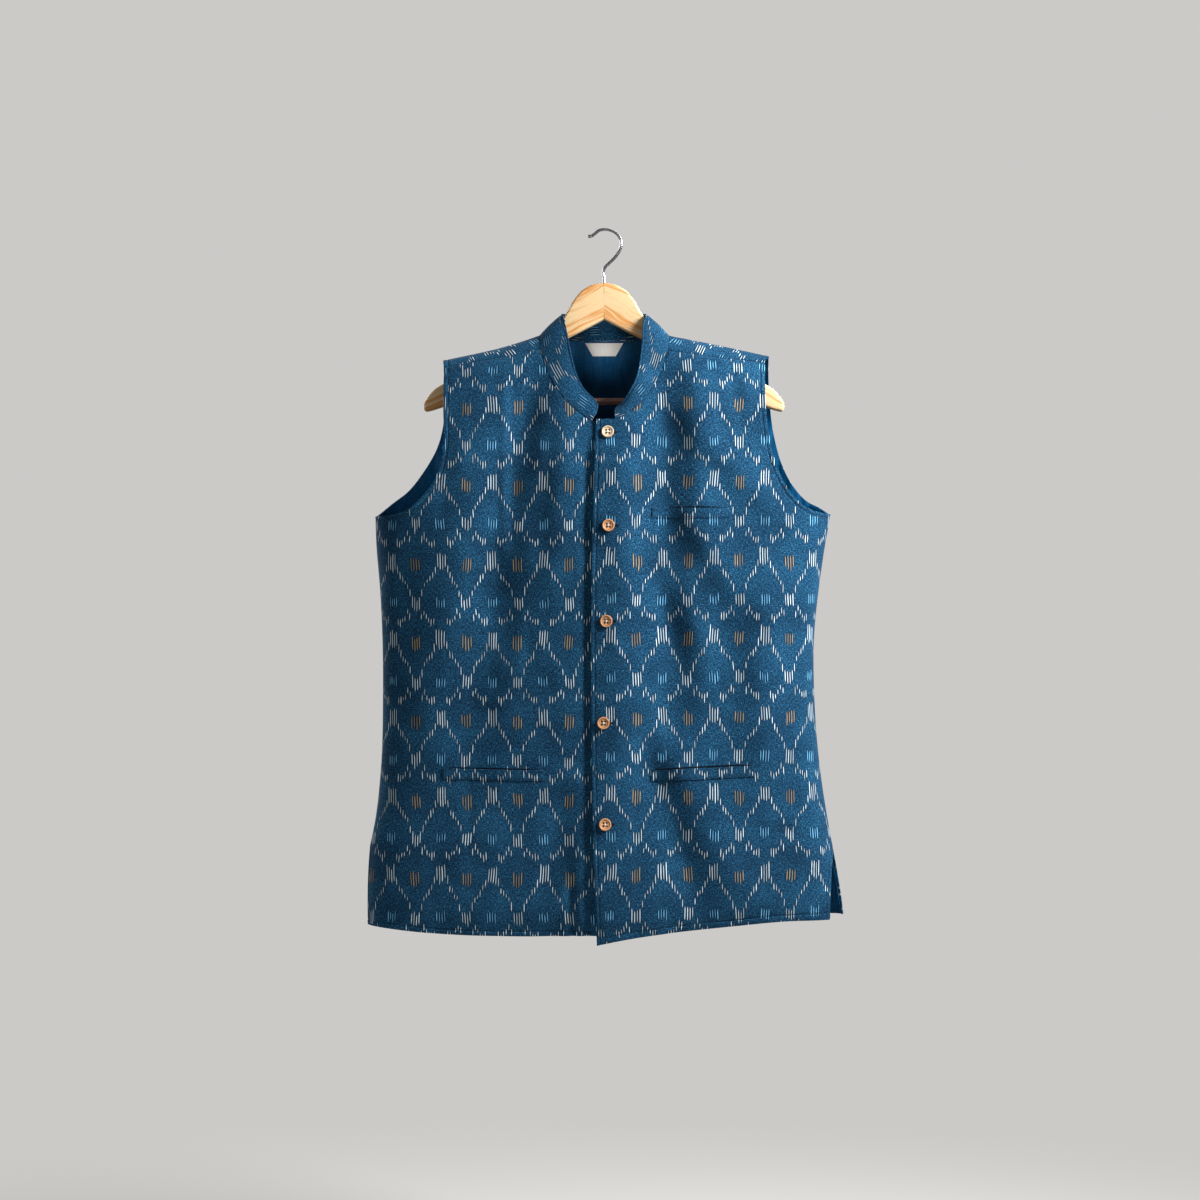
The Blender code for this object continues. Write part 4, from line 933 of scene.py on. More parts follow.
def ikat_cloth(name, white_u, white_v, tied=1.0):
    """Chambray with a tied and dyed warp. The chart's first white tie lies at white_u, white_v."""
    n = Nodes(name, Roughness=0.86, Sheen_Weight=0.06, Sheen_Roughness=0.4,
              Specular_IOR_Level=0.10)
    flat = n.cloth_mm()
    sway = n.node("TexNoise", {"Vector": flat, "Scale": 0.016, "Detail": 1.0}, out="Color")
    sway_u, sway_v, _ = n.parts(sway)
    u, v, _ = n.parts(flat)
    u_tied = n.math("ADD", u, n.math("MULTIPLY_ADD", sway_u, IKAT_SWAY_ACROSS,
                                     -IKAT_SWAY_ACROSS / 2 - white_u))
    down = n.math("SUBTRACT", n.math("MULTIPLY_ADD", sway_v, IKAT_SWAY_DOWN,
                                     white_v - IKAT_SWAY_DOWN / 2), v)
    thread_at = n.math("MULTIPLY_ADD", u_tied, 1 / THREAD_PITCH, THREADS / 2)
    thread = n.math("FLOOR", thread_at)
    across = n.math("ABSOLUTE", n.math("SUBTRACT", n.math("FRACT", thread_at), 0.5))
    across = n.math("MULTIPLY", across, THREAD_PITCH)
    from_middle = n.math("FLOORED_MODULO", thread, THREADS)
    from_middle = n.math("ABSOLUTE", n.math("SUBTRACT", from_middle, THREADS / 2 - 0.5))
    share = n.math("DIVIDE", from_middle, THREADS / 2)
    charts = []
    for place, half in ((1, 2), (3, 4)):
        stops = [((row[0] - 0.5) / (THREADS / 2),
                  ((row[place] + IKAT_LIFT) / IKAT_PLACES, row[half] / IKAT_HALVES, 0, 1))
                 for row in IKAT]
        charts.append(n.ramp(share, stops, "CONSTANT"))
    upper, upper_near = ikat_dashes(n, down, thread, across, charts[0], 0.0)
    lower, lower_near = ikat_dashes(n, down, thread, across, charts[1], 1.0)
    lower_colour = n.ramp(share, ((0.0, SKY_TIE), (0.2, WHITE_TIE), (0.8, TAN_TIE)), "CONSTANT")
    # the ground: slubby threads both ways, in a narrow range of blues
    warp = n.noise(n.stretch(flat, 1.05, 0.26), 1.0, 3.0, 0.6)
    weft = n.noise(n.stretch(flat, 0.30, 1.05), 1.0, 3.0, 0.6)
    grit = n.noise(n.stretch(flat, 0.80, 0.80), 1.0, 2.0)
    broad = n.noise(flat, 0.02, 2.0)
    tone = n.math("ADD", n.math("MULTIPLY", warp, 0.32), n.math("MULTIPLY", weft, 0.30))
    tone = n.math("ADD", tone, n.math("MULTIPLY_ADD", grit, 0.38, -0.03))
    tone = n.math("ADD", tone, n.math("MULTIPLY_ADD", broad, 0.10, -0.05))
    ground = n.ramp(tone, GROUND_BLUES)
    near = n.math("MULTIPLY", n.math("MAXIMUM", upper_near, lower_near), 0.75)
    ground = n.mix(near, ground, BESIDE_TIE)
    colour = n.mix(n.math("MULTIPLY", upper, tied), ground, WHITE_TIE)
    colour = n.mix(n.math("MULTIPLY", lower, tied), colour, lower_colour)
    # plain weave, warp over weft by turns
    warp_at = n.math("MULTIPLY", u, 1 / WARP_PITCH)
    weft_at = n.math("MULTIPLY", v, 1 / WEFT_PITCH)
    parity = n.math("ADD", n.math("FLOOR", warp_at), n.math("FLOOR", weft_at))
    parity = n.math("FLOORED_MODULO", parity, 2.0)
    warp_hump = n.math("SINE", n.math("MULTIPLY", n.math("FRACT", warp_at), math.pi))
    weft_hump = n.math("SINE", n.math("MULTIPLY", n.math("FRACT", weft_at), math.pi))
    hump = n.math("ADD", n.math("MULTIPLY", warp_hump, parity),
                  n.math("MULTIPLY", weft_hump, n.math("SUBTRACT", 1.0, parity)))
    weave = n.bump(hump, 0.35, 0.12)
    weave = n.bump(tone, 0.5, 0.5, weave)
    # painted highlight on the yarns' crowns and painted shade in the hollows between them
    shaded = n.math("MULTIPLY_ADD", hump, 0.24, 0.86)
    shaded = n.node("CombineColor", {0: shaded, 1: shaded, 2: shaded})
    return n.finish(n.mix(1.0, colour, shaded, "MULTIPLY"), normal=weave)


def satin_lining():
    """Thin shiny cloth, streaked along its warp and softly creased."""
    n = Nodes("lining_satin", Roughness=0.48, Specular_IOR_Level=0.12)
    flat = n.cloth_mm()
    streak = n.noise(n.stretch(flat, 1.6, 0.05), 1.0, 3.0)
    fine = n.noise(n.stretch(flat, 0.08, 2.2), 1.0, 2.0)
    drape = n.noise(n.stretch(flat, 0.06, 0.012), 1.0, 1.0)
    tone = n.math("ADD", n.math("MULTIPLY", streak, 0.6), n.math("MULTIPLY", fine, 0.4))
    colour = n.ramp(tone, LINING_BLUES)
    rough = n.rise(tone, 0.3, 0.7, 0.42, 0.54)
    return n.finish(colour, rough, n.bump(tone, 0.25, 0.3, n.bump(drape, 1.0, 9.0)))


def shade_cloth():
    """Near-black painted shade where only shade shows: a sheet for the shaded pocket bag in each
    pocket's mouth, and the walls of the buttons' holes.
    """
    n = Nodes("deep_shade", Roughness=0.95, Specular_IOR_Level=0.1)
    fuzz = n.noise(n.object_mm(), 0.8, 2.0)
    return n.finish(n.ramp(fuzz, PAINTED_SHADE_DARKS))


def thread_finish(name, colour):
    """Plied thread, with painted shade between its plies."""
    n = Nodes(name, Roughness=0.8, Sheen_Weight=0.08, Specular_IOR_Level=0.12)
    ply = n.noise(n.object_mm(), 1.6, 2.0)
    # painted shade in the hollows between the plies
    ply_shade = tuple(0.6 * part for part in colour[:3]) + (1.0,)
    shade = n.ramp(ply, ((0.35, ply_shade), (0.65, colour)))
    return n.finish(shade, normal=n.bump(ply, 0.4, 0.1))


def label_finish():
    """Close white ribs, a rib to each LABEL_RIB of the label's height."""
    n = Nodes("label_weave", Roughness=0.75, Sheen_Weight=0.2)
    flat = n.cloth_mm()
    _, v, _ = n.parts(flat)
    rib = n.math("SINE", n.math("MULTIPLY", v, math.tau / LABEL_RIB))
    fray = n.noise(n.stretch(flat, 0.5, 2.5), 1.0, 2.0)
    return n.finish(n.ramp(fray, LABEL_WHITES), normal=n.bump(rib, 0.3, 0.08))


def hanger_wood(name, angle, pale, streak, dark):
    """Planed wood whose grain runs along the board, angle above level."""
    n = Nodes(name, Roughness=0.42, Specular_IOR_Level=0.45, Coat_Weight=0.25,
              Coat_Roughness=0.25)
    board = n.object_mm((0.0, angle, 0.0))
    bend = n.noise(n.stretch(board, 0.012, 0.03, 0.03), 1.0, 2.0)
    along, deep, over = n.parts(board)
    over = n.math("ADD", over, n.math("MULTIPLY", bend, 22.0))
    rings = n.noise(n.vector(n.math("MULTIPLY", along, 0.006), n.math("MULTIPLY", deep, 0.08),
                             n.math("MULTIPLY", over, 0.17)), 1.0, 3.0, 0.55)
    fibres = n.noise(n.vector(n.math("MULTIPLY", along, 0.05), n.math("MULTIPLY", deep, 1.2),
                              n.math("MULTIPLY", over, 1.4)), 1.0, 3.0, 0.6)
    pores = n.rise(n.noise(n.vector(n.math("MULTIPLY", along, 0.10), deep,
                                    n.math("MULTIPLY", over, 2.2)), 1.0, 1.0), 0.66, 0.74)
    colour = n.ramp(rings, ((0.36, pale), (0.50, pale), (0.57, streak), (0.61, streak),
                            (0.68, pale)))
    colour = n.mix(n.math("MULTIPLY", fibres, 0.36), colour, streak)
    colour = n.mix(n.math("MULTIPLY", pores, 0.45), colour, dark)
    return n.finish(colour, n.rise(fibres, 0.3, 0.7, 0.36, 0.5), n.bump(fibres, 0.12, 0.2))


def button_finish(name, face, streak, rim):
    """Turned wood: fine grain, a darker ring over its dished groove, a darker rim, and holes."""
    n = Nodes(name, Roughness=0.5, Specular_IOR_Level=0.4, Coat_Weight=0.15, Coat_Roughness=0.3)
    place = n.object_mm()
    grain_lines = n.noise(n.stretch(place, 0.35, 1.0, 2.6), 1.0, 3.0, 0.6)
    off = n.node("Attribute", attribute_name="off_middle", out="Fac")
    colour = n.ramp(grain_lines, ((0.35, streak), (0.6, face)))
    ring = n.math("MULTIPLY", n.rise(off, 0.56, 0.66), n.rise(off, 0.72, 0.80, 0.75, 0.0))
    colour = n.mix(n.math("MAXIMUM", ring, n.rise(off, 0.86, 1.0)), colour, rim)
    return n.finish(colour, normal=n.bump(grain_lines, 0.25, 0.1))


def wire_finish():
    """Bright drawn wire with fine scratches."""
    n = Nodes("hook_wire", Metallic=1.0, Roughness=0.24)
    scratch = n.noise(n.object_mm(scale=(1.0, 1.0, 0.3)), 0.9, 4.0)
    colour = n.ramp(scratch, WIRE_GREYS)
    return n.finish(colour, n.rise(scratch, 0.3, 0.7, 0.18, 0.34), n.bump(scratch, 0.1, 0.05))


# ----------------------------------------------------------------- pieces as meshes
def placed(name, data):
    """An object of its own in the scene."""
    obj = bpy.data.objects.new(name, data)
    bpy.context.collection.objects.link(obj)
    return obj


def mesh_object(name, bm, materials):
    mesh = bpy.data.meshes.new(name)
    bm.to_mesh(mesh)
    bm.free()
    for material in materials:
        mesh.materials.append(material)
    return placed(name, mesh)


def piece(name, bm, materials, nodes=()):
    """A finished piece: rides on the body and stands for solids."""
    obj = mesh_object(name, bm, materials)
    obj.data.shade_smooth()
    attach(obj, BODY)
    if nodes:
        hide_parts(*nodes)
    return obj


RIM_ANGLE = math.radians(55)


def round_rim(obj, width, segments=2):
    """Rounds a wall's cut edges."""
    rim = obj.modifiers.new("rim", "BEVEL")
    rim.width = width * MM
    rim.segments = segments
    rim.limit_method = "ANGLE"
    rim.angle_limit = RIM_ANGLE
    rim.use_clamp_overlap = True


def wall_mesh(outer, inner, flat, missing=None):
    """A closed wall between two grids of points, its inner face in the second material."""
    row_count, column_count = outer.shape[:2]
    outer, inner = outer.reshape(-1, 3) * MM, inner.reshape(-1, 3) * MM
    flat = flat.reshape(-1, 2) * MM
    bm = bmesh.new()
    bmesh.ops.create_grid(bm, x_segments=column_count - 1, y_segments=row_count - 1, size=1)
    slot = bm.verts.layers.int.new("slot")
    for place, vert in enumerate(bm.verts):
        vert[slot] = place
        vert.co = outer[place]
    if missing is not None:
        gone = missing.reshape(-1)
        holes = [face for place, face in enumerate(bm.faces) if gone[place]]
        bmesh.ops.delete(bm, geom=holes, context="FACES")
    moved = bmesh.ops.extrude_face_region(bm, geom=bm.faces[:])
    for item in moved["geom"]:
        if isinstance(item, bmesh.types.BMVert):
            item.co = inner[item[slot]]
        elif isinstance(item, bmesh.types.BMFace):
            item.material_index = 1
    bmesh.ops.recalc_face_normals(bm, faces=bm.faces[:])
    uv = bm.loops.layers.uv.new("cloth")
    for face in bm.faces:
        for loop in face.loops:
            loop[uv].uv = flat[loop.vert[slot]]
    return bm


FRONT_INSET = 4.7           # rows of stitching, in from the edge
VENT_INSET = 6.0
ARM_INSET = 5.5
HEM_INSETS = {"left": 8.0, "right": 6.2}
BACK_HEM_INSET = 7.0
STITCH_PITCH = 3.0
STITCH_LENGTH = 2.3
STITCH_WIDTH = 0.55
STITCH_HEIGHT = 0.42
STITCH_LIFT = 0.08          # how far its middle stands off the cloth
STITCH_SHORTEST = 1.0
STITCH_STRAY = 3.0          # further than this from the cloth, a stitch is left out
GROOVE_DEPTH = 0.6
GROOVE_WIDTH = 0.85
EDGE_SWELL = 0.3
SEAM_PRESS = 0.8            # how far the iron sinks a panel's edge along a seam
SEAM_ROLL = 1.4
PANEL_RIM = 0.55


def filled(points, spacing=0.5):
    """A row of points with more put between them."""
    along = lengths(points)
    count = max(2, int(along[-1] / spacing))
    at = np.linspace(0, along[-1], count)
    return np.stack([np.interp(at, along, points[:, k]) for k in range(points.shape[1])], axis=-1)


def near_distance(points, border):
    """Distance of each point of a grid from a border."""
    tree = KDTree(len(border))
    for place, point in enumerate(border):
        tree.insert(point, place)
    tree.balance()
    flat = points.reshape(-1, 3)
    return np.array([tree.find(point)[2] for point in flat]).reshape(points.shape[:-1])


def panel(name, grid, start, thick, materials, nodes, missing, borders=(), seams=(), lie=None,
          grain_of=grain):
    """A cloth panel on the jacket's form, pressed in along its seams and rows of stitching.

    Its wall runs from start to start + thick below the form, and has no faces where missing.
    """
    turn, climb, _, _ = grid
    points, out = body(turn, climb, lie), facing(turn, climb, lie)
    outer = points - out * np.asarray(start)[..., None]
    if borders:
        groove, swell = np.zeros(turn.shape), np.zeros(turn.shape)
        for select, inset in borders:
            away = near_distance(points, filled(points[select]))
            groove = np.maximum(groove, np.exp(-((away - inset) / GROOVE_WIDTH) ** 2))
            swell = np.maximum(swell, np.exp(-((away - inset / 2) / (0.35 * inset)) ** 2))
        outer = outer + out * (EDGE_SWELL * swell - GROOVE_DEPTH * groove)[..., None]
    for select in seams:
        away = near_distance(points, filled(points[select]))
        outer = outer - out * (SEAM_PRESS * np.exp(-(away / SEAM_ROLL) ** 2))[..., None]
    inner = points - out * (np.asarray(start) + thick)[..., None]
    bm = wall_mesh(outer, inner, grain_of(turn, climb), missing)
    obj = piece(name, bm, materials, nodes)
    round_rim(obj, PANEL_RIM)
    return obj, points, out


def surface_of(obj):
    """A mesh's shape in metres, for finding the face that another piece lies on."""
    return BVHTree.FromPolygons([vert.co.copy() for vert in obj.data.vertices],
                                [face.vertices[:] for face in obj.data.polygons])


def add_stitch(bm, at, along, out, length, width, height):
    """One stitch: a small bead of thread, lengths in metres."""
    side = along.cross(out).normalized()
    shape = Matrix((along * length / 2, side * width / 2, out * height / 2)).transposed()
    bmesh.ops.create_uvsphere(bm, u_segments=6, v_segments=4, radius=1.0,
                              matrix=Matrix.Translation(at) @ shape.to_4x4()
                              @ Matrix.Rotation(math.pi / 2, 4, "Y"))


def topstitch(bm, surface, border, outs, inset, avoid=None):
    """A row of stitches on a surface, inset from a border; outs are the faces' directions.

    Where the row comes nearer to a border in avoid than its own inset, it stops.
    """
    fine = filled(np.concatenate((border, outs), axis=1), 1.0)
    points, outs = fine[:, :3], unit(fine[:, 3:])
    ahead = unit(np.gradient(points, axis=0))
    into = unit(np.cross(outs, ahead))
    middle = len(points) // 2
    gaps = []
    for sign in (1, -1):
        at = Vector((points[middle] + sign * into[middle] * inset) * MM)
        gaps.append(surface.find_nearest(at)[3])
    into = into if gaps[0] < gaps[1] else -into
    row = points + into * inset
    if avoid is not None:
        row = row[near_distance(row, avoid) > inset - 0.25]
    along = lengths(row)
    count = int(along[-1] / STITCH_PITCH)
    for k in range(count):
        at = (k + 0.5) * STITCH_PITCH
        ends = [Vector([np.interp(at + d, along, row[:, axis]) * MM for axis in range(3)])
                for d in (-STITCH_LENGTH / 2, STITCH_LENGTH / 2)]
        hits = [surface.find_nearest(end) for end in ends]
        if None in (hits[0][0], hits[1][0]) or max(hit[3] for hit in hits) > STITCH_STRAY * MM:
            continue
        middle = (hits[0][0] + hits[1][0]) / 2
        run = hits[1][0] - hits[0][0]
        if run.length < STITCH_SHORTEST * MM:
            continue
        out = (hits[0][1] + hits[1][1]).normalized()
        add_stitch(bm, middle + out * STITCH_LIFT * MM, run.normalized(), out,
                   run.length * 1.05, STITCH_WIDTH * MM, STITCH_HEIGHT * MM)


def stitch_borders(name, surface, points, out, borders, sewn):
    """The stitches of a panel along the borders that are sewn."""
    every = np.concatenate([filled(points[select]) for select, _ in borders])
    bm = bmesh.new()
    for select, inset in sewn:
        topstitch(bm, surface, points[select], out[select], inset, every)
    return piece(name, bm, [THREAD])


# ----------------------------------------------------------------- the cloth pieces
# each cloth, and where the first white tie lies in it, across and along
GROUND = {
    "left": ikat_cloth("ikat_front_left", 8.0, -405.0),
    "right": ikat_cloth("ikat_front_right", -73.7, -314.0),
    "back": ikat_cloth("ikat_back", 31.0, -333.0),
    "collar": ikat_cloth("ikat_collar", 12.0, 76.0, tied=0.5),
}
LINING = satin_lining()
SHADE = shade_cloth()
THREAD = thread_finish("topstitch_thread_and_shade", TOPSTITCH_BLUE_AND_SHADE)
WHOLE_ROW = slice(None)


def row_zones(rows):
    """Which rows lie along the vent, the side seam and the armhole."""
    return (rows <= ROWS_VENT, (rows >= ROWS_VENT) & (rows <= ROWS_UNDERARM),
            rows >= ROWS_UNDERARM)


def make_fronts():
    """Each front with its stitches and its shape, by side."""
    made = {}
    for side, lie in (("left", None), ("right", overlap_drop)):
        grid = front_panel(side)
        turn, _, columns, rows = grid
        vent, side_seam, armhole = row_zones(rows)
        last = len(columns) - 1
        borders = [((rows <= ROWS_CENTRE, 0), FRONT_INSET), ((0, WHOLE_ROW), HEM_INSETS[side]),
                   ((vent, last), VENT_INSET), ((armhole, last), ARM_INSET)]
        seams = [(-1, WHOLE_ROW), (side_seam, last), (rows >= ROWS_CENTRE, np.argmax(columns >= 0))]
        missing = (columns[None, :-1] < 0) & (rows[:-1, None] >= ROWS_CENTRE)
        front, points, out = panel("cloth_front_" + side, grid, 0.0 * turn, FRONT_WALL,
                                   (GROUND[side], LINING), ["front_" + side], missing,
                                   borders, seams, lie)
        surface = surface_of(front)
        # the right front's edge lies hidden, so its first border is left unsewn
        sewn = borders if side == "left" else borders[1:]
        threads = stitch_borders("stitches_front_" + side, surface, points, out, borders, sewn)
        made[side] = (front, threads, surface)
    return made


def neck_hole(columns, rows):
    """The faces left out of the back's grid between its two shoulders."""
    return (columns[None, :-1] >= COLUMNS_SHOULDER) & (
        columns[None, :-1] < COLUMNS_BACK - COLUMNS_SHOULDER) & (rows[:-1, None] >= ROWS)


def make_back():
    grid = back_panel(*BACK_MESH)
    turn, _, columns, rows = grid
    vent, side_seam, armhole = row_zones(rows)
    last = len(columns) - 1
    borders = [((0, WHOLE_ROW), BACK_HEM_INSET)]
    for end in (0, last):
        borders += [((vent, end), VENT_INSET), ((armhole, end), ARM_INSET)]
    seams = [(-1, WHOLE_ROW), (side_seam, 0), (side_seam, last)]
    back, points, out = panel("cloth_back", grid, 0.0 * turn, BACK_WALL,
                              (GROUND["back"], LINING), ["back"], neck_hole(columns, rows),
                              borders, seams, grain_of=grain_over)
    threads = stitch_borders("stitches_back", surface_of(back), points, out, borders, borders)
    return back, threads


def make_lining():
    """The lining hangs inside the back, short of its hem and loose off its seams."""
    turn, climb, columns, rows = back_panel(*LINING_MESH)
    climb = climb + (LINING_HEM_RISE * np.clip(1 - rows, 0, 1))[:, None]
    off_side = np.minimum(columns, COLUMNS_BACK - columns)[None]
    off_top = np.abs(rows - ROWS)[:, None]
    free = np.clip(np.where(rows[:, None] > ROWS_VENT, off_side, 1.0), 0, 1)
    loose = LINING_LOOSE * free * np.clip(off_top, 0, 1)
    lining, _, _ = panel("lining_back", (turn, climb, columns, rows),
                         BACK_WALL + LAYER_GAP + loose, LINING_WALL, (LINING, LINING),
                         ["back_lining"], neck_hole(columns, rows), grain_of=grain_over)
    return lining


def make_collar():
    """A stand collar on the neckline's own points, leaning in as it hangs."""
    foot, out, head = [], [], []
    for side in ("right", "left"):
        seam, top = neck_path(side)
        parts = [stretch(np.linspace(0, 1, count)) for stretch, count in
                 zip(neck_stretches(side), COLLAR_POINTS)]
        stations = np.concatenate((parts[0], parts[1][1:], parts[2][1:]))
        turn, climb = seam(stations).T
        at, face = body(turn, climb), facing(turn, climb)
        if side == "right":
            at[:, 1] += overlap_drop(at[:, 0], at[:, 2]) * (climb > 0)
        up = top(stations)
        radius = COLLAR_END_RADIUS[side]
        inset = radius - np.linalg.norm(at - at[-1], axis=1)
        bite = 1 - np.sqrt(np.maximum(0.0, 1 - np.clip(inset / radius, 0, 1) ** 2))
        up = at + (up - at) * (1 - COLLAR_END_FALL * bite)[:, None]
        order = slice(None, None, -1) if side == "right" else slice(1, None)
        foot.append(at[order])
        out.append(face[order])
        head.append(up[order])
    foot, out, head = np.concatenate(foot), np.concatenate(out), np.concatenate(head)
    along = unit(np.gradient(foot, axis=0))
    inward = unit(np.cross(along, out))
    base = foot + inward * COLLAR_CLEAR
    rise = unit(head - foot)
    inside = unit(np.cross(along, rise))
    lean = np.arctan2((rise * out).sum(1), (rise * inward).sum(1))
    mitre = COLLAR_WALL * np.tan(np.clip(-lean, 0.0, COLLAR_MOST_LEAN))
    t = COLLAR_HEIGHTS[:, None, None]
    outer = base[None] + (head - base)[None] * t - inside[None] * COLLAR_BULGE * np.sin(math.pi * t)
    inner = outer + inside[None] * COLLAR_WALL
    inner = inner + rise[None] * mitre[None, :, None] * np.maximum(0.0, 1 - 8 * t)
    tall = np.linalg.norm(head - base, axis=1)
    up = COLLAR_HEIGHTS[:, None] * tall[None]
    flat = np.stack((up, np.broadcast_to(lengths(blend(foot, head, 0.5)), up.shape)), -1)
    # pressed in along a row of stitching all round
    border = np.concatenate([filled(outer[-1]), filled(outer[:, 0]), filled(outer[:, -1])])
    away = near_distance(outer, border)
    groove = COLLAR_GROOVE * np.exp(-((away - COLLAR_INSET) / COLLAR_PRESS_WIDTH) ** 2)
    swell = COLLAR_SWELL * np.exp(-((away - COLLAR_SWELL_INSET) / COLLAR_PRESS_WIDTH) ** 2)
    outer = outer + inside[None] * (groove - swell)[..., None]
    collar = piece("cloth_collar", wall_mesh(outer, inner, flat), (GROUND["collar"],) * 2,
                   ["collar"])
    round_rim(collar, COLLAR_RIM, 3)
    bm = bmesh.new()
    topstitch(bm, surface_of(collar), outer[-1], -np.broadcast_to(inside, outer[-1].shape),
              COLLAR_INSET)
    threads = piece("stitches_collar", bm, [THREAD])
    return collar, threads


# ----------------------------------------------------------------- trim on the fronts
WELT_THICK = 1.4
WELTS = {
    # name: centre x, centre z, length, height, slope, gape at the mouth
    "welt_chest": (105.5, -351.5, 96.0, 12.4, 0.0, 1.0),
    "welt_left": (120.5, -669.5, 127.0, 14.0, 0.045, 2.4),
    "welt_right": (-136.0, -671.0, 124.0, 13.6, -0.015, 1.0),
}
WELT_ROLL = 2.6             # over which it thickens from its seams
WELT_INSET = 1.7
WELT_PRESS, WELT_PRESS_WIDTH = 0.5, 0.8  # the groove that its stitches press
WELT_RIM = 0.3
MOUTHS = {
    # name: from and to as shares of the length, height of the slit
    "welt_chest": (-0.26, 0.44, 2.0),
    "welt_left": (-0.49, 0.49, 2.4),
    "welt_right": (-0.48, 0.48, 1.8),
}
MOUTH_BELOW = 0.8           # how far the slit reaches down behind the lip
MOUTH_OUT, MOUTH_THICK = 0.25, 0.2
LABEL_TOP, LABEL_FOOT, LABEL_HEIGHT = 48.0, 29.0, 16.0
LABEL_THICK = 0.6
LABEL_RIB = 0.45
LABEL_BELOW_SEAM = 2.5
LABEL_RIM = 0.2
BUTTON_RADIUS = 7.75
BUTTON_THICK = 3.0
BUTTON_CLEAR = 0.1          # over the layer gap, above the highest cloth under it
BUTTON_PROFILE = (          # as shares of the radius and the thickness
    (0.0, 0.0), (0.80, 0.0), (0.96, 0.12), (1.0, 0.34), (1.0, 0.66), (0.97, 0.86),
    (0.91, 0.98), (0.84, 1.0), (0.77, 0.93), (0.70, 0.76), (0.60, 0.68), (0.0, 0.62),
)
BUTTONS = ((4.6, -252.8), (5.4, -367.0), (3.0, -483.3), (-0.7, -607.0), (1.1, -730.3))
HOLES = 4
HOLE_RADIUS, HOLE_OUT = 1.3, 2.75
DRILL_LENGTH = 9.0
CROSS_SIDE = 0.36           # two strands lie this far either side of each diagonal
CROSS_STRAND = (2 * (HOLE_OUT - 0.9), 0.7, 0.6)  # length, width, height
CROSS_TOP = 0.66 * BUTTON_THICK + 0.25
CROSS_LAYER = 0.2
SLIT_START, SLIT_PITCH, SLIT_STITCHES = -3.0, 0.46, 33
# the middle row is painted shade in the open slit, the outer two are thread
SLIT_ROWS = (-0.75, 0.0, 0.75)
SLIT_STITCH = (1.3, 0.5, 0.5)
SLIT_LIFT = 0.12


def ground_at(surface, x, z, from_y=CLEAR_Y):
    """Place and direction of the face met from from_y going back, at x and z in mm."""
    hit, normal, _, _ = surface.ray_cast(Vector((x, from_y, z)) * MM, Vector((0, 1, 0)))
    if hit is None:
        return None, None
    return np.array(hit) / MM, np.array(normal)


def make_welt(name, surface, ground):
    """A pocket welt sewn flat at its seam and ends, and a little open along its mouth."""
    centre_x, centre_z, length, height, slope, gape = WELTS[name]
    us = lines(-0.5, 0.5, 60)
    us = np.unique(np.concatenate((us, (-0.495, -0.485, 0.485, 0.495))))
    vs = np.array((0.0, 0.06, 0.14, 0.25, 0.4, 0.55, 0.7, 0.82, 0.9, 0.96, 1.0))
    outer = np.zeros((len(vs), len(us), 3))
    inner = np.zeros_like(outer)
    for j, v in enumerate(vs):
        for i, u in enumerate(us):
            x = centre_x + u * length
            z = centre_z + (v - 0.5) * height + u * length * slope
            hit, out = ground_at(surface, x, z)
            lift = LAYER_GAP + gape * math.cos(math.pi * u) * v ** 2
            full = min(v * height, (0.5 - abs(u)) * length) / WELT_ROLL
            full = math.sin(math.pi / 2 * min(1.0, full))
            row = math.exp(-((v * height - WELT_INSET) / WELT_PRESS_WIDTH) ** 2)
            thick = WELT_THICK * (0.5 + 0.5 * full)
            inner[j, i] = hit + out * lift
            outer[j, i] = hit + out * (lift + thick - WELT_PRESS * row * full)
    across, up = outer[..., 0], outer[..., 2]
    turn = turn_at(across, up)
    flat = grain(turn, climb_at(turn, up, 1))
    welt = piece("cloth_" + name, wall_mesh(outer, inner, flat), (ground, ground),
                 [name])
    round_rim(welt, WELT_RIM)
    bm = bmesh.new()
    own = surface_of(welt)
    outs = np.broadcast_to((0.0, -1.0, 0.0), outer[0].shape)
    topstitch(bm, own, outer[0], outs, WELT_INSET)
    for end in (0, -1):
        topstitch(bm, own, outer[:, end], outs[:len(vs)], WELT_INSET)
    threads = piece("stitches_" + name, bm, [THREAD])
    # a near-black sheet of painted shade in the slit that shows over the lip
    first, last, tall = MOUTHS[name]
    us, vs = np.linspace(first, last, 41), np.array((0.0, 0.5, 1.0))
    outer = np.zeros((len(vs), len(us), 3))
    for i, u in enumerate(us):
        share = (2 * u - first - last) / (last - first)
        rise = tall * math.sqrt(max(0.02, 1 - share ** 2))
        for j, v in enumerate(vs):
            x = centre_x + u * length
            z = centre_z + height / 2 + u * length * slope - MOUTH_BELOW
            hit, out = ground_at(surface, x, z + v * (MOUTH_BELOW + rise))
            outer[j, i] = hit + out * MOUTH_OUT
    slit = wall_mesh(outer, outer + (0.0, MOUTH_THICK, 0.0), outer[..., (0, 2)])
    mouth = piece("mouth_" + name, slit, (SHADE, SHADE))
    return welt, threads, mouth


def button_mesh():
    """A turned button about the origin, in millimetres, and each point's share of its radius."""
    bm = bmesh.new()
    verts = [bm.verts.new((out * BUTTON_RADIUS, 0, up * BUTTON_THICK)) for out, up in BUTTON_PROFILE]
    edges = [bm.edges.new(pair) for pair in zip(verts, verts[1:])]
    bmesh.ops.spin(bm, geom=verts + edges, cent=(0, 0, 0), axis=(0, 0, 1),
                   angle=math.tau, steps=48, use_merge=True)
    bmesh.ops.remove_doubles(bm, verts=bm.verts[:], dist=0.001)
    off = bm.verts.layers.float.new("off_middle")
    for vert in bm.verts:
        vert[off] = math.hypot(vert.co.x, vert.co.y) / BUTTON_RADIUS
    return bm


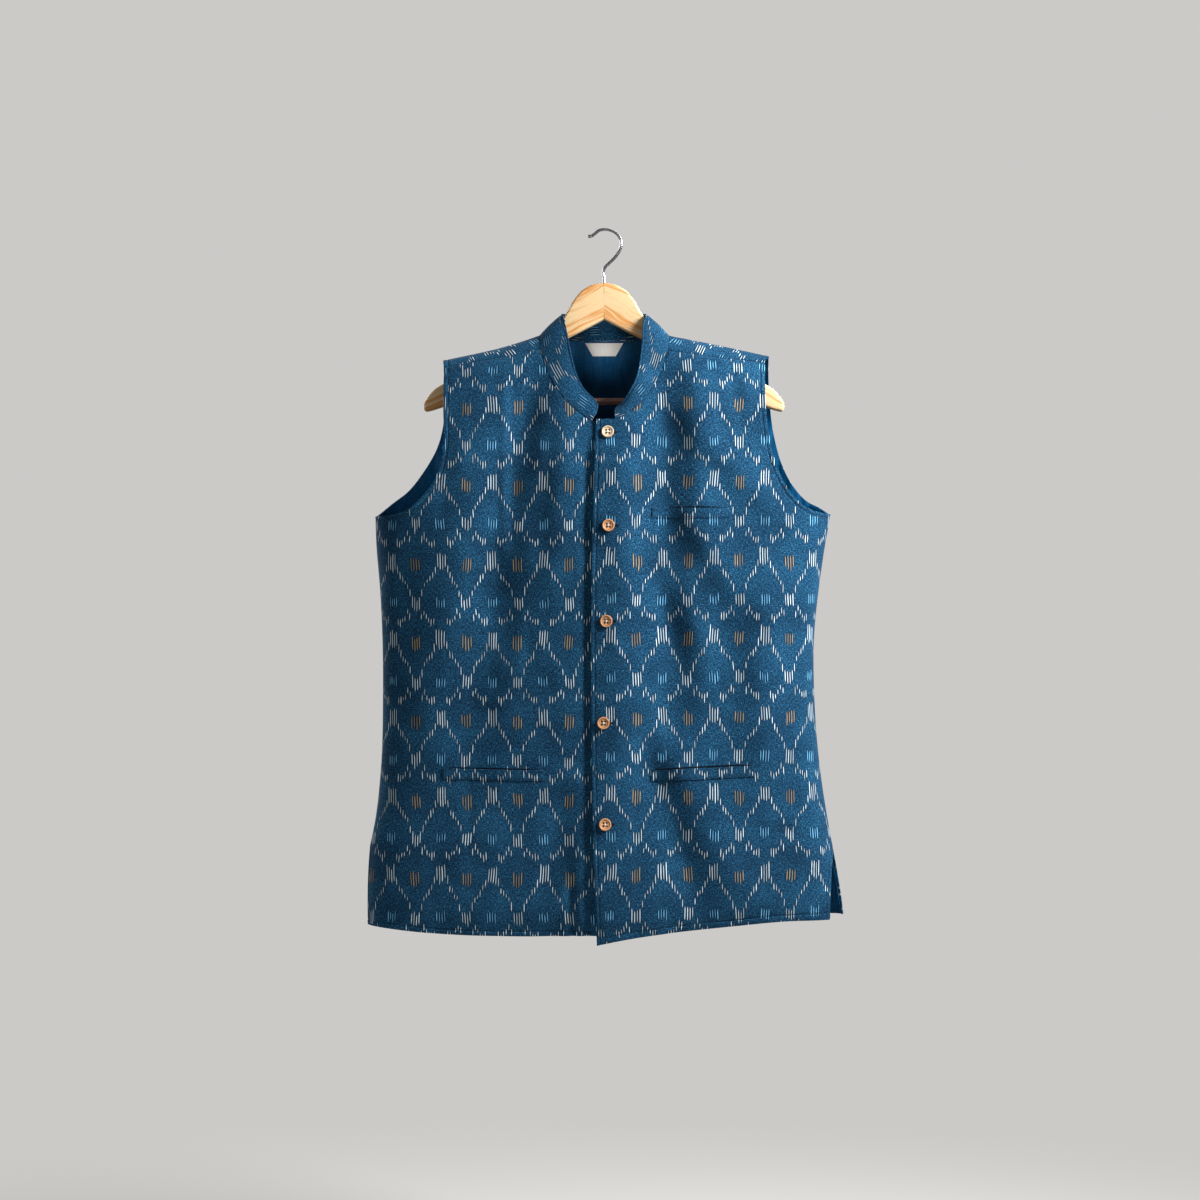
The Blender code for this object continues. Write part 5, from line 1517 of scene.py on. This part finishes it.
def drill_mesh(angle):
    """A rod through the button, in millimetres, that cuts the hole at an angle round it."""
    bm = bmesh.new()
    bmesh.ops.create_cone(bm, cap_ends=True, segments=14, radius1=HOLE_RADIUS,
                          radius2=HOLE_RADIUS, depth=DRILL_LENGTH)
    bmesh.ops.translate(bm, verts=bm.verts[:], vec=(
        HOLE_OUT * math.cos(angle), HOLE_OUT * math.sin(angle), BUTTON_THICK / 2))
    # the hole's wall takes the second material, painted shade
    for face in bm.faces:
        face.material_index = 1
    return bm


def stand_mesh(bm, centre, turn):
    """Moves a mesh made in millimetres about the origin to its place."""
    matrix = Matrix.Scale(MM, 4) @ Matrix.Translation(centre) @ turn
    bmesh.ops.transform(bm, matrix=matrix, verts=bm.verts[:])


def button_seat(surface, x, z):
    """The middle of a button's back, clear of the cloth, and its across, up and normal."""
    hit, _ = ground_at(surface, x, z)
    turn = turn_at(x, z)
    normal = Vector(facing(turn, climb_at(turn, z, 1)))
    across = Vector((1, 0, 0))
    across = (across - normal * across.dot(normal)).normalized()
    up = normal.cross(across)
    centre = Vector(hit)
    lift = 0.0
    for ring in (0.35, 0.7, 1.0):
        for k in range(24):
            angle = math.tau * k / 24
            at = centre + (across * math.cos(angle) + up * math.sin(angle)) * BUTTON_RADIUS * ring
            spot, _ = ground_at(surface, at.x, at.z)
            if spot is not None:
                lift = max(lift, (Vector(spot) - centre).dot(normal))
    return centre + normal * (lift + LAYER_GAP + BUTTON_CLEAR), across, up, normal


def cut_holes(button, wood, centre, turn):
    """Drills a button's holes, whose walls take painted shade."""
    drills = []
    for k in range(HOLES):
        bm = drill_mesh(math.tau * (k + 0.5) / HOLES)
        stand_mesh(bm, centre, turn)
        drills.append(mesh_object("drill", bm, (wood, SHADE)))
        cut = button.modifiers.new("hole", "BOOLEAN")
        cut.operation = "DIFFERENCE"
        cut.object = drills[-1]
    bpy.context.view_layer.update()
    shaped = bpy.data.meshes.new_from_object(button.evaluated_get(
        bpy.context.evaluated_depsgraph_get()))
    button.modifiers.clear()
    button.data = shaped
    shaped.set_sharp_from_angle(angle=math.radians(40))
    for drill in drills:
        bpy.data.objects.remove(drill, do_unlink=True)


def make_buttons(surface):
    cream = button_finish("button_cream", *CREAM_WOOD)
    tan = button_finish("button_tan", *TAN_WOOD)
    cotton = thread_finish("button_thread", BUTTON_COTTON)
    for place, (x, z) in enumerate(BUTTONS):
        centre, across, up, normal = button_seat(surface, x, z)
        turn = Matrix((across, up, normal)).transposed().to_4x4()
        bm = button_mesh()
        stand_mesh(bm, centre, turn)
        name = "button_%d" % (place + 1)
        # the second material is painted shade for the walls of the holes
        button = piece("turned_" + name, bm, [cream if place == 0 else tan, SHADE],
                       [name])
        cut_holes(button, tan, centre, turn)
        # the sewing thread, crossed over the holes
        bm = bmesh.new()
        for k in range(2):
            angle = math.tau * (k + 0.5) / HOLES
            head = across * math.cos(angle) + up * math.sin(angle)
            for side in (-CROSS_SIDE, CROSS_SIDE):
                at = centre + normal * (CROSS_TOP + CROSS_LAYER * k) + normal.cross(head) * side
                add_stitch(bm, at * MM, head, normal, *[part * MM for part in CROSS_STRAND])
        piece("thread_" + name, bm, [cotton])


def make_buttonholes(surface):
    """Tight stitching along each slit, mostly under the buttons; its near-black colour is partly
    painted shade, and its middle row lies in the open slit as painted shade.
    """
    dark = thread_finish("buttonhole_thread_and_slit_shade", BUTTONHOLE_BLUE_AND_SLIT_SHADE)
    bm = bmesh.new()
    for x, z in BUTTONS:
        for k in range(SLIT_STITCHES):
            along = SLIT_START + k * SLIT_PITCH
            for side in SLIT_ROWS:
                hit, out = ground_at(surface, x + along, z + side)
                if hit is not None:
                    add_stitch(bm, Vector(hit + out * SLIT_LIFT) * MM, Vector((0, 0, 1)),
                               Vector(out), *[part * MM for part in SLIT_STITCH])
    return piece("buttonhole_stitches_and_slit_shade", bm, [dark])


def make_label(surface):
    """A plain woven label, sewn below the collar on the lining's inner face."""
    us, vs = np.linspace(-0.5, 0.5, 41), np.linspace(0, 1, 15)
    top_z = body(*neck_path("left")[0](0.0))[2] - LABEL_BELOW_SEAM
    near = np.zeros((len(vs), len(us), 3))
    for j, v in enumerate(vs):
        for i, u in enumerate(us):
            x = NECK_CENTRE + u * blend(LABEL_TOP, LABEL_FOOT, v)
            z = top_z - LABEL_HEIGHT * v
            hit, _ = ground_at(surface, x, z, from_y=0.0)
            near[j, i] = (x, hit[1] - LAYER_GAP - LABEL_THICK, z)
    far = near + np.array((0.0, LABEL_THICK, 0.0))
    label = piece("woven_label", wall_mesh(near, far, near[..., (0, 2)]), (label_finish(),) * 2,
                  ["label"])
    round_rim(label, LABEL_RIM)
    return label


# ------------------------------------------------------------------ the hanger
ARM_THICK = 13.0
ARM_EDGE = 4.0              # radius of its rounded edges
ARM_JOINT = 0.2             # each half stops this far short of the middle
ARM_TOP = (                 # upper edge from the middle to the tip, left side
    (0.0, -64.8), (14.5, -67.2), (27.5, -74.5), (39.0, -88.0), (49.0, -106.0),
    (64.0, -121.6), (80.0, -136.7), (120.0, -155.0), (160.0, -172.4),
    (199.0, -189.8), (210.0, -196.5), (218.5, -206.0),
)
ARM_TIP = ((223.5, -216.0), (221.5, -223.5), (212.0, -222.5))
ARM_FOOT = (                # lower edge from the tip back to the middle
    (200.0, -218.5), (150.0, -192.0), (100.0, -165.5), (46.0, -134.3),
    (20.0, -120.8), (0.0, -110.6),
)
BAR_RADIUS = 4.4
BAR_Z = -211.5
BAR_HALF = 203.0
HOOK_WIRE = 1.9
HOOK_DEPTH = 24.0           # how deep the bore goes below the first point
HOOK_SHORT = 4.0            # how far the wire stops above the bore's floor
HOOK_POINTS = 80
HOOK_BEAD = (0.28, 1.6, 1.4)  # the tip's swelling: its share, place from the end and width
HOOK_END = 0.7
HOOK = (                    # centre line of the wire, from the wood to the tip
    (0.0, -58.0), (-1.0, -52.0), (0.4, -46.5), (4.5, -41.8), (9.5, -37.0),
    (15.5, -30.5), (20.0, -22.6), (21.6, -14.5), (19.4, -7.6), (13.6, -1.6),
    (7.0, 1.2), (0.0, 1.9), (-6.5, 0.4), (-11.5, -3.6), (-15.4, -6.3),
    (-19.8, -6.8),
)
GRAIN_ANGLE = math.radians(25)


def make_arm(side):
    """Half of the wooden hanger, cut from a board and rounded along its edges."""
    sign = 1 if side == "left" else -1
    parts = ((ARM_TOP[:4], 14), (ARM_TOP[3:], 30), ((ARM_TOP[-1],) + ARM_TIP, 16),
             ((ARM_TIP[-1],) + ARM_FOOT, 24))
    outline = [even_path(smooth_path(points))(np.linspace(0, 1, count + 1))
               for points, count in parts]
    outline = np.concatenate([outline[0]] + [part[1:] for part in outline[1:]])
    bm = bmesh.new()
    half = ARM_THICK / 2
    verts = [bm.verts.new((sign * max(x, ARM_JOINT) * MM, -half * MM, z * MM)) for x, z in outline]
    board = bmesh.ops.extrude_face_region(bm, geom=[bm.faces.new(verts)])
    for item in board["geom"]:
        if isinstance(item, bmesh.types.BMVert):
            item.co.y = half * MM
    bmesh.ops.recalc_face_normals(bm, faces=bm.faces[:])
    rims = [edge for edge in bm.edges
            if abs(edge.verts[0].co.y - edge.verts[1].co.y) < 1e-6
            and max(abs(vert.co.x) for vert in edge.verts) > 0.001]
    bmesh.ops.bevel(bm, geom=rims, offset=ARM_EDGE * MM, affect="EDGES", segments=6,
                    profile=0.5, material=-1, clamp_overlap=True)
    wood = hanger_wood("hanger_pine_" + side, -sign * GRAIN_ANGLE, *PINE)
    arm = piece("board_" + side, bm, [wood], ["hanger_arm_" + side])
    arm.data.set_sharp_from_angle(angle=math.radians(40))
    return arm


def swept(route, radii, sides):
    """A round rod along a route of points in millimetres, its radius at each, with caps."""
    bm = bmesh.new()
    ahead = unit(np.gradient(route, axis=0))
    aside = np.array((0.0, 1.0, 0.0))
    loop = None
    for at, way, radius in zip(route, ahead, radii):
        up = np.cross(way, aside)
        turn = Matrix((Vector(aside) * radius, Vector(up) * radius, Vector(way))).transposed()
        matrix = Matrix.Scale(MM, 4) @ Matrix.Translation(Vector(at)) @ turn.to_4x4()
        ring = bmesh.ops.create_circle(bm, cap_ends=False, segments=sides, radius=1, matrix=matrix)
        edges = list({edge for vert in ring["verts"] for edge in vert.link_edges})
        if loop is None:
            bmesh.ops.contextual_create(bm, geom=edges)
        else:
            bmesh.ops.bridge_loops(bm, edges=loop + edges)
        loop = edges
    bmesh.ops.contextual_create(bm, geom=loop)
    bmesh.ops.recalc_face_normals(bm, faces=bm.faces[:])
    return bm


def make_hook():
    """A wire from its bore between the boards up to a small bead at its tip."""
    bend = even_path(smooth_path(HOOK))(np.linspace(0, 1, HOOK_POINTS))
    bend = np.concatenate(([(0.0, HOOK[0][1] - HOOK_DEPTH + HOOK_SHORT)], bend))
    route = np.stack((bend[:, 0], 0 * bend[:, 0], bend[:, 1]), axis=-1)
    from_tip = lengths(route)[-1] - lengths(route)
    bead, bead_from_tip, bead_width = HOOK_BEAD
    radii = HOOK_WIRE * (1 + bead * np.exp(-((from_tip - bead_from_tip) / bead_width) ** 2))
    radii[-1] = HOOK_WIRE * HOOK_END
    hook = piece("wire_hook", swept(route, radii, 20), [wire_finish()],
                 ["hanger_hook"])
    hook.data.set_sharp_from_angle(angle=math.radians(50))
    return hook


def make_bar():
    """The trouser bar, a rod between sockets in the two boards."""
    bm = bmesh.new()
    bmesh.ops.create_cone(bm, cap_ends=True, segments=32, radius1=BAR_RADIUS * MM,
                          radius2=BAR_RADIUS * MM, depth=2 * BAR_HALF * MM)
    matrix = Matrix.Translation((0, 0, BAR_Z * MM)) @ Matrix.Rotation(math.pi / 2, 4, "Y")
    bmesh.ops.transform(bm, matrix=matrix, verts=bm.verts[:])
    bar = piece("rod_bar", bm, [hanger_wood("bar_beech", 0.0, *BAR_WOOD)],
                ["hanger_bar"])
    bar.data.set_sharp_from_angle(angle=math.radians(40))
    return bar


# ------------------------------------------------------------------ stage and camera
def make_floor():
    """Pale paper that runs back without a horizon: away from the hanger it is its own light."""
    bm = bmesh.new()
    bmesh.ops.create_circle(bm, cap_ends=True, segments=96, radius=FLOOR_RADIUS * MM)
    bmesh.ops.translate(bm, verts=bm.verts[:], vec=(0, 0, FLOOR_Z * MM))
    n = Nodes("floor_paint", Roughness=0.9)
    n.finish(PAPER)
    x, y, _ = n.parts(n.object_mm())
    off = n.math("SQRT", n.math("ADD", n.math("MULTIPLY", x, x), n.math("MULTIPLY", y, y)))
    seen = n.node("LightPath", out="Is Camera Ray")
    level = n.math("MULTIPLY_ADD", seen, 1.0 - AMBIENT, AMBIENT)
    glow = n.node("Emission", {"Color": PAPER, "Strength": level})
    far = n.rise(off, PAPER_NEAR, PAPER_FAR)
    both = n.node("MixShader", {0: far, 1: n.shader.outputs[0], 2: glow})
    n.tree.links.new(both, n.tree.nodes["Material Output"].inputs[0])
    floor = mesh_object("floor", bm, [n.material])


def make_surroundings():
    """Pale to look at, and dimmer as a light, so that the lamps shape the folds."""
    world = bpy.data.worlds.new("studio")
    world.use_nodes = True
    back = world.node_tree.nodes["Background"]
    back.inputs["Color"].default_value = PAPER
    ray = world.node_tree.nodes.new("ShaderNodeLightPath")
    level = world.node_tree.nodes.new("ShaderNodeMapRange")
    level.inputs["To Min"].default_value = AMBIENT
    level.inputs["To Max"].default_value = 1.0
    world.node_tree.links.new(ray.outputs["Is Camera Ray"], level.inputs["Value"])
    world.node_tree.links.new(level.outputs[0], back.inputs["Strength"])
    bpy.context.scene.world = world
    bpy.context.scene.view_settings.view_transform = "Standard"


def hang_lamp(lamp, place, aim):
    lamp.location = Vector(place)
    lamp.rotation_euler = (Vector(aim) - Vector(place)).to_track_quat("-Z", "Y").to_euler()


def make_lamps():
    for name, place, aim, size, power in SOFT_LAMPS:
        data = bpy.data.lights.new(name, "AREA")
        data.shape = "SQUARE"
        data.size = size
        data.energy = power
        hang_lamp(placed(name, data), place, aim)
    name, place, aim, width, power = NECK_BEAM
    data = bpy.data.lights.new(name, "SPOT")
    data.spot_size = math.radians(width)
    data.spot_blend = NECK_BEAM_BLEND
    data.shadow_soft_size = NECK_BEAM_RADIUS
    data.energy = power
    hang_lamp(placed(name, data), place, aim)


def make_camera():
    data = bpy.data.cameras.new("camera")
    data.lens = LENS
    data.sensor_width = SENSOR
    data.clip_end = CAMERA_REACH
    camera = placed("camera", data)
    camera.location = Vector(CAMERA) * MM
    camera.rotation_euler = (math.radians(90), 0.0, 0.0)
    bpy.context.scene.camera = camera


def cut_of(obj):
    """A cloth piece's width, length and area before sewing, from its own cloth map."""
    uv = obj.data.uv_layers["cloth"].data
    places = np.array([loop.uv[:] for loop in uv])
    width, length = np.ptp(places, axis=0)
    area = 0.0
    for face in obj.data.polygons:
        if face.material_index == 0:
            x, y = places[list(face.loop_indices)].T
            area += abs(np.dot(x, np.roll(y, 1)) - np.dot(y, np.roll(x, 1))) / 2
    return (float(width), float(length)), float(area)


def hung_sheet(obj):
    """Works out the size and area of a cloth piece's flat cut, which nothing then uses."""
    flat, area = cut_of(obj)


def main():
    make_camera()
    fronts = make_fronts()
    back, back_threads = make_back()
    lining = make_lining()
    collar, collar_threads = make_collar()
    left, left_threads, left_surface = fronts["left"]
    right, right_threads, right_surface = fronts["right"]
    left_welts = [make_welt(name, left_surface, GROUND["left"]) for name in ("welt_chest", "welt_left")]
    right_welts = [make_welt("welt_right", right_surface, GROUND["right"])]
    make_buttons(left_surface)
    buttonholes = make_buttonholes(left_surface)
    label = make_label(surface_of(lining))
    hung_sheet(lining)
    hung_sheet(back)
    hung_sheet(collar)
    hung_sheet(left)
    hung_sheet(right)
    for front, welts in ((left, left_welts), (right, right_welts)):
        for welt, threads, mouth in welts:
            hung_sheet(welt)
    hung_sheet(label)
    for side in ("left", "right"):
        make_arm(side)
    make_bar()
    make_hook()
    make_floor()
    make_surroundings()
    make_lamps()


main()
